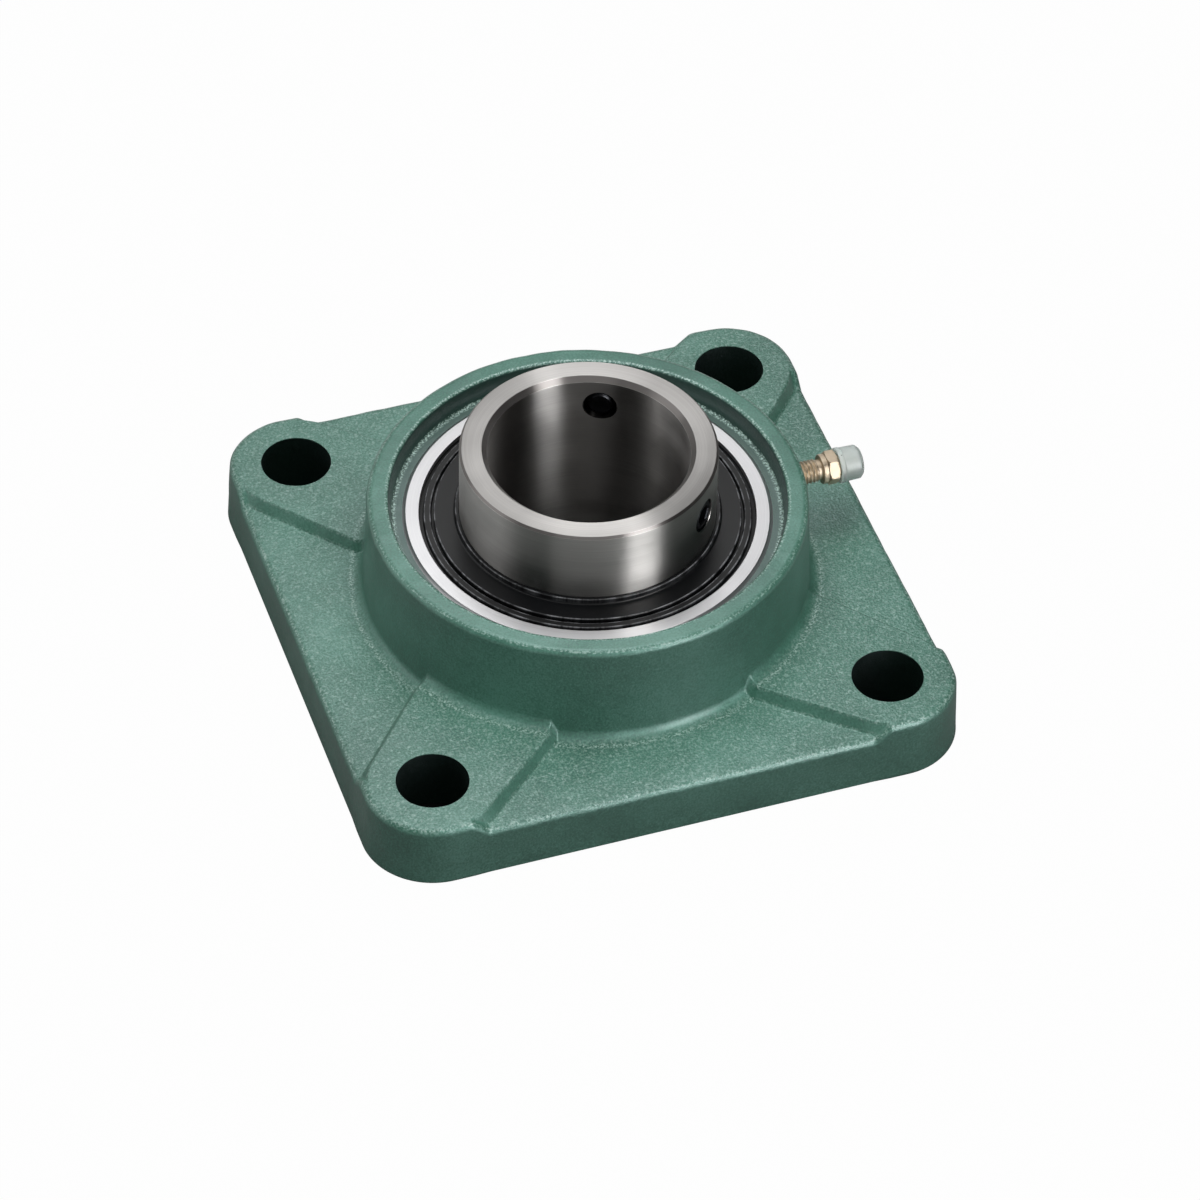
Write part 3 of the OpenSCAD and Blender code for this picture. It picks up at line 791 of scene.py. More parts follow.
@dataclass(frozen=True)
class TurnedBrass(Finish):
    """Free-cutting brass with a thin nickel flash: pale straw metal with turning lines round the nipple."""

    colour: str = "#d8cab6"
    dark: str = "#ab9a82"
    line_mm: float = 0.25
    stretch: Triple = (1.0, 0.06, 0.06)
    tarnish_mm: float = 1.6

    def paint(self, recipe: Recipe) -> None:
        """Turning lines along X and a tarnish in the dark tone."""
        add = recipe.add
        along_x = add("Mapping", recipe.place, Scale=self.stretch)
        lines = add("TexNoise", along_x, Scale=1 / (self.line_mm * MM))
        tarnish = add("TexNoise", recipe.place, Scale=1 / (self.tarnish_mm * MM), Detail=4.0)
        recipe.feed(recipe.shader, {
            "Base Color": add("Mix", tarnish, self.dark, self.colour, data_type="RGBA"), "Metallic": 1.0,
            "Roughness": self.worn_roughness(recipe, tarnish, 0.06, 0.08),
            "Normal": add("Bump", Strength=0.35, Distance=0.02 * MM, Height=lines)})


@dataclass(frozen=True)
class MouldedPolythene(Finish):
    """Natural polythene: milky and see-through, so the brass shows inside it, with a waxy surface."""

    colour: str = "#eef4f2"
    dark: str = "#dfe8e5"
    cloud_mm: float = 1.8

    def paint(self, recipe: Recipe) -> None:
        """Milky clouds in the tone and a waxy ripple in the bump."""
        add = recipe.add
        cloud = add("TexNoise", recipe.place, Scale=1 / (self.cloud_mm * MM), Detail=4.0)
        recipe.feed(recipe.shader, {
            "Base Color": add("Mix", cloud, self.dark, self.colour, data_type="RGBA"),
            "Transmission Weight": 0.55, "IOR": 1.5,
            "Roughness": self.worn_roughness(recipe, cloud, 0.05, 0.08),
            "Normal": add("Bump", Strength=0.3, Distance=0.05 * MM, Height=cloud)})


# Sub-assemblies


@dataclass
class SubAssembly(ABC):
    """Pieces that are made together."""

    pieces: list[bpy.types.Object] = field(default_factory=list, init=False)

    @abstractmethod
    def build(self) -> None:
        """Makes and dresses the pieces."""

    def place(self, piece: bpy.types.Object, body: Body, slot: Slot, finish: Finish, node: str) -> None:
        """Lets a piece ride on its body in place of its CAD node.

        Args:
            piece: The finished piece.
            body: The body that it rides on.
            slot: Not used.
            finish: Its finish.
            node: The CAD node that it stands for.
        """
        finish.dress(piece)
        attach(piece, body.value)
        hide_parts(node)
        self.pieces.append(piece)

    def report(self) -> None:
        """Logs each piece with its number of faces."""
        for piece in self.pieces:
            log.info("%s: %s, %d faces", type(self).__name__, piece.name, len(piece.data.polygons))


@dataclass
class Housing(SubAssembly):
    """The cast flange, boss and seat as one closed skin, in mm.

    A column of the skin is a closed profile that starts and ends at the ledge round the seat. Columns
    are spread so that they run along the flanks of the corner pads, and their points on a flank lie on
    its two arcs.
    """

    half_pitch: float = HALF_PITCH
    hole_r: float = 8.0
    corner_r: float = 16.0
    pad_h: float = 15.5
    web_h: float = 12.5
    draft: float = 0.7
    edge_r: float = 1.8
    foot_bevel: float = 0.25
    flank_top: float = 0.7
    flank_foot: float = 2.3
    flank_edge_r: float = 0.8
    flank_fillet_r: float = 0.9
    pad_root_x: float = 34.3
    pad_spread: float = 2.9
    boss_r: float = 50.3
    rim_r: float = 49.1
    wall_top_r: float = 49.3
    wall_top_z: float = 32.5
    boss_h: float = 37.5
    boss_fillet_r: float = 2.5
    boss_edge_r: float = 1.5
    mouth_r: float = 43.6
    mouth_foot_r: float = 0.6
    mouth_top_r: float = 44.3
    mouth_edge_r: float = 0.9
    seat_z: float = SEAT_Z
    seat_r: float = 42.55
    seat_half_w: float = 10.5
    recess_r: float = 44.2
    recess_h: float = 7.0
    recess_edge: float = 0.4
    recess_fillet_r: float = 0.8
    cone_top: float = 8.5
    cone_out: float = 0.2
    cone_edge_r: float = 0.3
    slot_r: float = 42.85
    slot_half_w: float = 11.3
    slot_side_y: float = 30.0
    slot_middle_y: float = 36.0
    nipple_z: float = NIPPLE_Z
    nipple_hole_r: float = 2.7
    nipple_hole_x: float = 44.8
    nipple_hole_l: float = 12.0
    passage_r: float = 1.2
    passage_x: float = 38.0
    passage_l: float = 7.5
    ripple: float = 0.05
    ripple_waves: Pair = (3.5, 22.0)
    ripple_seed: int = 7
    pad_columns: int = 14
    web_columns: int = 19
    sharp_deg: float = 50.0
    finish: Finish = SandCastPaint("Sprayed enamel on sand-cast iron", 0.45)

    @property
    def start_r(self) -> float:
        """Radius at which the boss fillet's foot ends and the plate's columns start."""
        return self.boss_r + self.boss_fillet_r

    def flank(self) -> tuple[Array, Array]:
        """Profile across a pad's flank: a straight slope between a rounded top edge and a foot fillet.

        Returns:
            Distance beyond the pad's flat top and height, in mm.
        """
        top, foot = self.flank_top, self.flank_foot
        line = rounded([(0.0, self.pad_h, 0), (top, self.pad_h, self.flank_edge_r),
                        (foot, self.web_h, self.flank_fillet_r), (foot + top, self.web_h, 0)], closed=False)
        return line[:, 0], line[:, 1]

    def leant(self, steps: Array, first: Array, last: Array, beside: Array, weight: Array) -> Array:
        """Straight columns that lean towards a bent one beside them.

        A point is the straight column's, plus the weight times the bent column's bow off its own chord.

        Args:
            steps: Places along a column, from 0 to 1.
            first: The columns' first points (columns, 2).
            last: Their last points (columns, 2).
            beside: The bent column's points (steps, 2).
            weight: How far each column follows the bent one, from 0 to 1.

        Returns:
            Points (steps, columns, 2).
        """
        bow = beside - (beside[0] + steps[:, None] * (beside[-1] - beside[0]))
        return first + steps[:, None, None] * (last - first) + weight[:, None] * bow[:, None]

    def plan(self, steps: Array) -> tuple[Array, Array, Array, Array]:
        """Plan of the plate's columns over one eighth of the flange, from a pad's middle to mid-side.

        In a frame whose x runs through the bolt hole, the flank line is tangent to a circle round the
        hole and one nearer the boss, and a column beside it keeps its distance: a straight run, and
        then an arc round the hole up to the contour where the edge rounding starts. The columns over
        the pad and over the web are straight, and lean towards the curved one as they come near it.

        Args:
            steps: Places along a column, from 0 at the boss to 1 at the contour.

        Returns:
            Points (steps, columns, 2), their outward directions at the contour (columns, 2), heights
            (columns), and directions at the boss (columns, 2).
        """
        hole = np.array([self.half_pitch * math.sqrt(2), 0.0])
        contour = self.corner_r - self.draft - self.edge_r
        out, height = self.flank()
        lean = math.asin(self.pad_spread / (hole[0] - self.pad_root_x))
        normal = np.array([math.sin(lean), math.cos(lean)])
        # Columns beside the flank line
        reach = contour + out
        square = math.pi / 2 - lean
        start = square - np.arccos((hole[0] * normal[0] + reach) / self.start_r)
        first = self.start_r * heading(start)
        tangent = hole + reach[:, None] * normal
        straight = np.linalg.norm(tangent - first, axis=1)
        last = math.pi / 4 + np.arccos(np.clip(contour / reach, -1, 1))
        s = steps[:, None] * (straight + reach * (square - last))
        share = np.clip(s / straight, 0, 1)[..., None]
        ring = hole + reach[:, None] * heading(square - np.clip(s - straight, 0, None) / reach)
        beside = np.where((s <= straight)[..., None], first + share * (tangent - first), ring)
        # Columns over the pad
        t = np.linspace(0, 1, self.pad_columns + 1)[:-1]
        pad_turn, pad_out = start[0] * t, heading(math.pi / 4 * t)
        over_pad = self.leant(steps, self.start_r * heading(pad_turn), hole + contour * pad_out,
                              beside[:, 0], t ** 3)
        # Columns over the web
        t = np.linspace(0, 1, self.web_columns + 1)[1:]
        web_turn = start[-1] + (math.pi / 4 - start[-1]) * t
        diagonal, side = np.array([1.0, 1.0]) / math.sqrt(2), np.array([-1.0, 1.0]) / math.sqrt(2)
        corner = hole + contour * diagonal
        from_corner = (beside[-1, -1] - corner) @ side
        web_end = corner + (from_corner + (self.half_pitch - from_corner) * t)[:, None] * side
        over_web = self.leant(steps, self.start_r * heading(web_turn), web_end, beside[:, -1], (1 - t) ** 3)
        outward = np.vstack([pad_out, np.tile(diagonal, (len(out) + self.web_columns, 1))])
        heights = np.concatenate([np.full(self.pad_columns, self.pad_h), height,
                                  np.full(self.web_columns, self.web_h)])
        return (np.concatenate([over_pad, beside, over_web], 1), outward, heights,
                heading(np.concatenate([pad_turn, start, web_turn])))

    def all_round(self, eighth: Array) -> Array:
        """Repeats plan vectors of one eighth's columns all round: mirrored, and turned four times.

        Args:
            eighth: Vectors (..., columns, 2).

        Returns:
            Vectors for every column, starting at a quarter's first edge. The columns at mid-side belong to
            two eighths and are taken once.
        """
        quarter = np.concatenate([eighth[..., -2:0:-1, :] * (1.0, -1.0), eighth], -2)
        turns = []
        for a in (math.pi / 4 + k * math.pi / 2 for k in range(4)):
            turns.append(quarter @ np.array([[math.cos(a), math.sin(a)], [-math.sin(a), math.cos(a)]]))
        return np.concatenate(turns, -2)

    def skin(self) -> Array:
        """Works out the whole skin, row by row from the ledge over the boss and flange to the seat.

        Returns:
            Grid of points (rows, columns, 3), in mm, whose last row joins the first.
        """
        places, outward, heights, ray = self.plan(np.linspace(0, 1, 44) ** 0.9)
        places, outward, ray = self.all_round(places), self.all_round(outward), self.all_round(ray)
        heights = np.tile(np.concatenate([heights[-2:0:-1], heights]), 4)
        ledge_z = self.seat_z + self.seat_half_w
        seat_edge_r = math.sqrt(self.seat_r ** 2 - self.seat_half_w ** 2)
        mouth = rounded([(seat_edge_r, ledge_z, 0), (self.mouth_r, ledge_z, self.mouth_foot_r),
                         (self.mouth_top_r, self.boss_h, self.mouth_edge_r),
                         (self.rim_r, self.boss_h, self.boss_edge_r),
                         (self.wall_top_r, self.wall_top_z, 0)], closed=False, steps=7)
        rows = [row(r * ray, z) for r, z in mouth]
        # The boss wall comes down to the fillet, whose foot follows the pads and the web
        foot_z = heights + self.boss_fillet_r
        taper = (self.boss_r - self.wall_top_r) / (self.wall_top_z - self.web_h)
        for level in (0.8, 0.55, 0.3, 0.12, 0.0):
            z = foot_z + (self.wall_top_z - foot_z) * level
            wall_r = self.wall_top_r + taper * (self.wall_top_z - z)
            rows.append(row(wall_r[:, None] * ray, z))
        for b in np.linspace(0, math.pi / 2, 10)[1:-1]:
            r = wall_r + (self.start_r - wall_r) * (1 - math.cos(b))
            rows.append(row(r[:, None] * ray, heights + self.boss_fillet_r * (1 - math.sin(b))))
        rows += [row(line, heights) for line in places]
        # The edge rounding, and the side that leans out to its foot
        contour, shoulder = places[-1], heights - self.edge_r
        for a in np.linspace(0, math.pi / 2, 9)[1:]:
            rows.append(row(contour + self.edge_r * math.sin(a) * outward,
                            heights - self.edge_r * (1 - math.cos(a))))
        slope = self.draft / (self.pad_h - self.edge_r)
        for level in (0.8, 0.6, 0.4, 0.2, 0.05, 0.0):
            out = self.edge_r + slope * shoulder * (1 - level)
            side = contour + out[:, None] * outward
            rows.append(row(side, shoulder * level if level else self.foot_bevel))
        # The mounting face, and the recess, the cone and the seat back up to the ledge
        face = side - self.foot_bevel * outward
        inner = (self.recess_r + self.recess_edge) * ray
        rows += [row(face * (1 - share) + inner * share, 0.0)
                 for share in (0.0, 0.12, 0.3, 0.5, 0.7, 0.88, 1.0)]
        bowl = np.linspace(-self.seat_half_w, self.seat_half_w, 15)[1:-1]
        recess = rounded([(self.recess_r, self.recess_edge, 0),
                          (self.recess_r, self.recess_h, self.recess_fillet_r),
                          (seat_edge_r + self.cone_out, self.cone_top, self.cone_edge_r),
                          (seat_edge_r, self.seat_z - self.seat_half_w, 0)], closed=False)
        seat = np.stack([np.sqrt(self.seat_r ** 2 - bowl ** 2), self.seat_z + bowl], -1)
        rows += [row(r * ray, z) for r, z in np.vstack([recess, seat])]
        return np.stack(rows)

    def rough_cast(self, grid: Array) -> Array:
        """Moves the cast rows along their normals by a smooth ripple, and leaves the machined ones.

        The normal is the cross product of the differences to the next row and to the next column.
        The ripple fades out at the ledge, at the foot of the sides and inside the seat.
        """
        down = np.roll(grid, -1, 0) - np.roll(grid, 1, 0)
        beside = np.roll(grid, -1, 1) - np.roll(grid, 1, 1)
        normal = np.cross(beside, down)
        normal /= np.maximum(np.linalg.norm(normal, axis=-1, keepdims=True), 1e-9)
        r, z = np.linalg.norm(grid[..., :2], axis=-1), grid[..., 2]
        outside = np.clip((r - self.recess_r - 1.0) / 1.5, 0, 1) * np.clip((z - 0.5) / 2.0, 0, 1)
        mouth = np.clip((z - self.seat_z - self.seat_half_w - 1.0) / 2.0, 0, 1)
        waves = wave_noise(grid, *self.ripple_waves, self.ripple_seed)
        return grid + (self.ripple * np.maximum(outside, mouth) * waves)[..., None] * normal

    def slot(self, side: int) -> bpy.types.Object:
        """Makes one loading slot's cutter: an arc of the slot's radius with straight sides inside it."""
        a = np.linspace(-1, 1, 24) * math.asin(self.slot_half_w / self.slot_r)
        arc = self.slot_r * np.stack([np.sin(a), np.cos(a)], -1)
        ends = [(self.slot_half_w, self.slot_side_y), (-self.slot_half_w, self.slot_side_y)]
        outline, middle = np.concatenate([arc, ends]) * (1, side), np.array([0.0, side * self.slot_middle_y])
        grid = [row(middle + size * (outline - middle), z)
                for size, z in ((0.0, -1.0), (1.0, -1.0), (1.0, self.seat_z), (0.0, self.seat_z))]
        return mesh_piece(f"slot_{side:+d}", np.stack(grid), ring_rows=False)

    def build(self) -> None:
        """Makes the skin, drills it and dresses it."""
        raw = mesh_piece("housing_cast", self.rough_cast(self.skin()), sharp_deg=self.sharp_deg)
        # The bolt holes' axis is a hair off +Z, because a cross product with +Z lays a cutter along its axis
        p, up, out = self.half_pitch, (0.0, 1e-9, 1.0), (1.0, 0.0, 0.0)
        cutters = [drill(f"bolt_{x:+d}{y:+d}", self.hole_r, (x * p, y * p, -1.0), up, 20.0)
                   for x in (-1, 1) for y in (-1, 1)]
        for name, radius, x, length, sides in (
                ("nipple_hole", self.nipple_hole_r, self.nipple_hole_x, self.nipple_hole_l, 48),
                ("passage", self.passage_r, self.passage_x, self.passage_l, 32)):
            cutters.append(drill(name, radius, (x, 0, self.nipple_z), out, length, sides=sides))
        cutters += [self.slot(side) for side in (-1, 1)]
        piece = cut_away(raw, cutters, self.sharp_deg)
        self.place(piece, Body.HOUSING, Slot.CAST_IRON, self.finish, "housing")


@dataclass
class Insert(SubAssembly):
    """The rings, seals and slingers of the insert, as turned profiles in mm."""

    seat_z: float = SEAT_Z
    bore_r: float = BORE_R
    inner_r: float = 28.6
    back_z: float = 3.0
    front_z: float = 52.2
    bore_bevel: float = 1.15
    ring_bevel: float = 0.55
    bevel_edge_r: float = 0.15
    outer_r: float = 42.5
    half_w: float = 11.0
    face_r: float = 40.5
    face_slope: Pair = (0.4, 0.42)
    sphere_start: float = 0.55
    land_r: float = 36.3
    recess_r: float = 37.55
    recess_h: float = 2.5
    snap: float = 0.45
    bead_h: float = 0.9
    groove_offset: float = 6.8
    groove_half_w: float = 1.5
    groove_h: float = 0.8
    groove_draft: float = 0.02
    race_r: float = 6.604
    inner_race_x: float = 32.724
    outer_race_x: float = 32.276
    rim_out_r: float = 36.6
    rim_in_r: float = 34.8
    rim_drop: float = 0.3
    rim_lean: float = 0.15
    rim_foot_r: float = 0.15
    seal_t: float = 1.2
    seal_gap: float = 0.02
    lip_gap: float = 0.15
    lip_z: Pair = (0.4, 0.8)
    lip_slope: float = 1.4
    slinger_r: float = 34.3
    slinger_t: float = 1.0
    slinger_top: float = 11.1
    hub_h: float = 1.4
    hub_t: float = 0.95
    screw_z: float = SCREW_Z
    screw_hole_r: float = 3.725
    tap_starts: Pair = (-4.0, 3.0)
    tap_past: float = 3.55
    tap_length: float = 3.2
    screw_bevel: float = 0.35
    hub_fit: float = 0.02
    # Roundings that several corners of the turned profiles share
    fine_r: float = 0.1
    soft_r: float = 0.2
    screw_angles: Pair = SCREW_ANGLES
    segments: int = 256
    ground: Finish = TurnedSteel("Ground bearing steel", 0.35, taps=SCREW_ANGLES)
    raced: Finish = TurnedSteel("Satin ground bearing steel", 0.36, colour="#cfcfd0", dark="#b9b9bb",
                                stretch=0.4)
    rubber: Finish = MouldedRubber("Moulded nitrile rubber", 0.42, sheen=0.3, highlight_rings_mm=(35.05, 36.35))
    coated: Finish = MouldedRubber("Black coated slinger sheet", 0.3, colour="#131416", sheen=0.27,
                                   highlight_rings_mm=(29.42, 34.12))

    def turned(self, name: str, profile: Array, side: int = 1) -> bpy.types.Object:
        """Turns a profile of radius and height over the seat's middle round the shaft's axis.

        Args:
            name: Name of the piece.
            profile: Radius and height, in mm.
            side: 1 as it is, or -1 mirrored to the rear.

        Returns:
            The piece.
        """
        outlines = profile * (1, side) + (0, self.seat_z)
        return mesh_piece(name, stacked(outlines, full_turn(self.segments)))

    def race(self, centre_r: float, wall_r: float, side: int) -> tuple[float, Array]:
        """Works out a raceway: an arc about a centre, from one edge of it in the ring's wall to the other.

        Args:
            centre_r: Radius at which the centre lies.
            wall_r: Radius of the ring's wall.
            side: 1 if the arc lies outside its centre, -1 if inside.

        Returns:
            Half the raceway's width, and its points without the first and the last.
        """
        half = math.sqrt(self.race_r ** 2 - (wall_r - centre_r) ** 2)
        a = side * np.linspace(-1, 1, 25)[1:-1] * math.asin(half / self.race_r)
        return half, np.stack([centre_r + side * self.race_r * np.cos(a), self.race_r * np.sin(a)], -1)

    def inner_ring(self) -> bpy.types.Object:
        """The inner ring: a tube with bevels, a raceway and two tapped holes."""
        half, race = self.race(self.inner_race_x, self.inner_r, -1)
        bevels = [(self.inner_r, self.ring_bevel), (self.inner_r - self.ring_bevel, 0.0),
                  (self.bore_r + self.bore_bevel, 0.0), (self.bore_r, self.bore_bevel)]
        back, front = self.back_z - self.seat_z, self.front_z - self.seat_z
        rear_end = [(r, back + z, self.bevel_edge_r) for r, z in bevels]
        front_end = [(r, front - z, self.bevel_edge_r) for r, z in bevels[::-1]]
        wall = rounded([(self.inner_r, -half, 0), *rear_end, *front_end, (self.inner_r, half, 0)],
                       closed=False, steps=4)
        ring = self.turned("inner_ring_ground", np.vstack([wall, race]))
        # Each hole is cut from both sides, so that both its mouths get a bevel
        cutters = []
        for angle in self.screw_angles:
            out = np.array([*heading(math.radians(angle)), 0.0])
            lengths = (self.inner_r - self.bore_r + self.tap_past, self.tap_length)
            for name, way, past_bore, length in zip(("out", "in"), (1.0, -1.0), self.tap_starts, lengths):
                start = out * (self.bore_r + past_bore) + (0, 0, self.screw_z)
                cutters.append(drill(f"tap_{angle:.0f}_{name}", self.screw_hole_r, start, way * out, length,
                                     self.screw_bevel, 64))
        return cut_away(ring, cutters, 30.0)

    def outer_ring(self) -> bpy.types.Object:
        """The outer ring: a sphere outside with a grease groove, a raceway inside and two seal recesses."""
        top, land = self.half_w, self.land_r
        floor, snap_r = top - self.recess_h, self.recess_r + self.snap
        half, race = self.race(self.outer_race_x, land, 1)
        bead = floor + self.bead_h
        fine, (slope_r, slope_z) = self.fine_r, self.face_slope
        front = rounded([(land, half, 0), (land, floor, fine), (snap_r, floor, fine), (snap_r, bead, fine),
                         (self.recess_r, bead + self.snap, fine), (self.recess_r, top, 0.12),
                         (self.face_r, top, 0.18), (self.face_r + slope_r, top - slope_z, 0)],
                        closed=False, steps=4)
        low, high = self.groove_offset - self.groove_half_w, self.groove_offset + self.groove_half_w
        floor_r = math.sqrt(self.outer_r ** 2 - self.groove_offset ** 2) - self.groove_h
        upper, lower = (np.stack([np.sqrt(self.outer_r ** 2 - z ** 2), z], -1)
                        for z in (np.linspace(top - self.sphere_start, high, 6),
                                  np.linspace(low, self.sphere_start - top, 30)))
        groove = np.array([(floor_r, high - self.groove_draft), (floor_r, low + self.groove_draft)])
        back = front[::-1] * (1, -1)
        return self.turned("outer_ring_ground", np.vstack([race, front, upper, groove, lower, back]))

    def seal(self, name: str, side: int) -> bpy.types.Object:
        """A seal: a bead in the ring's groove, a raised rim, and a web that thins to its lip."""
        gap, rim_top = self.seal_gap, self.half_w - self.rim_drop
        floor = self.half_w - self.recess_h + gap
        web, bead = floor + self.seal_t, floor + self.bead_h - 2 * gap
        snap_r, lip = self.recess_r + self.snap - 2 * gap, self.inner_r + self.lip_gap
        fine, soft, foot, lean = self.fine_r, self.soft_r, self.rim_foot_r, self.rim_lean
        (lip_low, lip_high), slope = self.lip_z, lip + self.lip_slope
        profile = rounded([(snap_r, floor, fine), (snap_r, bead, fine),
                           (self.recess_r - gap, bead + self.snap / 2, fine), (self.rim_out_r, web, foot),
                           (self.rim_out_r - lean, rim_top, soft), (self.rim_in_r + lean, rim_top, soft),
                           (self.rim_in_r, web, foot), (slope, web, soft), (lip, floor + lip_high, fine),
                           (lip, floor + lip_low, fine), (slope, floor, soft)], steps=4)
        return self.turned(name, profile, side)

    def slinger(self, name: str, side: int) -> bpy.types.Object:
        """A slinger: a disc over the seal with a hub pressed on the inner ring."""
        top, hub_top, hole = self.slinger_top, self.half_w + self.hub_h, self.inner_r + self.hub_fit
        low, hub_r = top - self.slinger_t, hole + self.hub_t
        profile = rounded([(hole, low, 0.05), (self.slinger_r, low, 0.25), (self.slinger_r, top, 0.25),
                           (hub_r, top, 0.4), (hub_r, hub_top, 0.22), (hole, hub_top, 0.1)])
        return self.turned(name, profile, side)

    def build(self) -> None:
        """Makes and dresses the rings, seals and slingers."""
        self.place(self.inner_ring(), Body.SHAFT_RING, Slot.GROUND_STEEL, self.ground, "inner_ring")
        self.place(self.outer_ring(), Body.INSERT, Slot.BEARING_STEEL, self.raced, "outer_ring")
        for label, side in (("front", 1), ("rear", -1)):
            self.place(self.seal(f"{label}_seal_moulded", side), Body.INSERT, Slot.RUBBER, self.rubber,
                       f"{label}_seal")
            self.place(self.slinger(f"{label}_slinger_pressed", side), Body.SHAFT_RING, Slot.SLINGER,
                       self.coated, f"{label}_slinger")


@dataclass
class SetScrews(SubAssembly):
    """Two socket set screws with cup points, in mm."""

    bore_r: float = BORE_R
    sink: float = 0.35
    length: float = 5.4
    major: float = 3.68
    minor: float = 3.2
    pitch: float = 1.25
    point_bevel: float = 1.2
    end_bevel: float = 0.5
    cup_r: float = 2.18
    cup_depth: float = 0.5
    socket_af: float = 4.0
    socket_corner_r: float = 2.31
    socket_bevel: float = 0.25
    core: float = 2.6
    core_drop: float = 0.6
    core_step: float = 0.02
    core_inset: float = 0.3
    z: float = SCREW_Z
    finish: Finish = BlackOxide("Black oxide on alloy steel", 0.38)

    def screw(self, name: str, angle_deg: float) -> bpy.types.Object:
        """One screw as a grid: point, threaded outside, flat end, hexagon socket and its drilled floor.

        The outside radius is the thread's, held inside the cone of the point and the bevel of the end.
        """
        t = full_turn(96)
        x = np.linspace(0.0, self.length, 56)[:, None]
        thread = thread_radius(t[None], x, self.major, self.minor, self.pitch)
        point, end = self.major - self.point_bevel + x, self.major - self.end_bevel + (self.length - x)
        body = np.minimum(thread, np.minimum(point, end))
        hexagon = hexagon_radius(t, self.socket_af, self.socket_corner_r)
        grid = stacked([(0.0, self.cup_depth), (self.cup_r, 0.0), *zip(body, x[:, 0]),
                        (hexagon + self.socket_bevel, self.length),
                        (hexagon, self.length - self.socket_bevel), (hexagon, self.core + self.core_step),
                        (self.socket_af / 2 - self.core_inset, self.core),
                        (0.0, self.core - self.core_drop)], t)
        out = np.array([*heading(math.radians(angle_deg)), 0.0])
        origin = out * (self.bore_r + self.sink) + (0, 0, self.z)
        return mesh_piece(name, along(grid, origin, out), ring_rows=False, sharp_deg=25.0)

    def build(self) -> None:
        """Makes and dresses both screws."""
        for letter, angle, body in zip("ab", SCREW_ANGLES, (Body.SCREW_A, Body.SCREW_B)):
            self.place(self.screw(f"set_screw_{letter}_threaded", angle), body, Slot.BLACK_OXIDE, self.finish,
                       f"set_screw_{letter}")


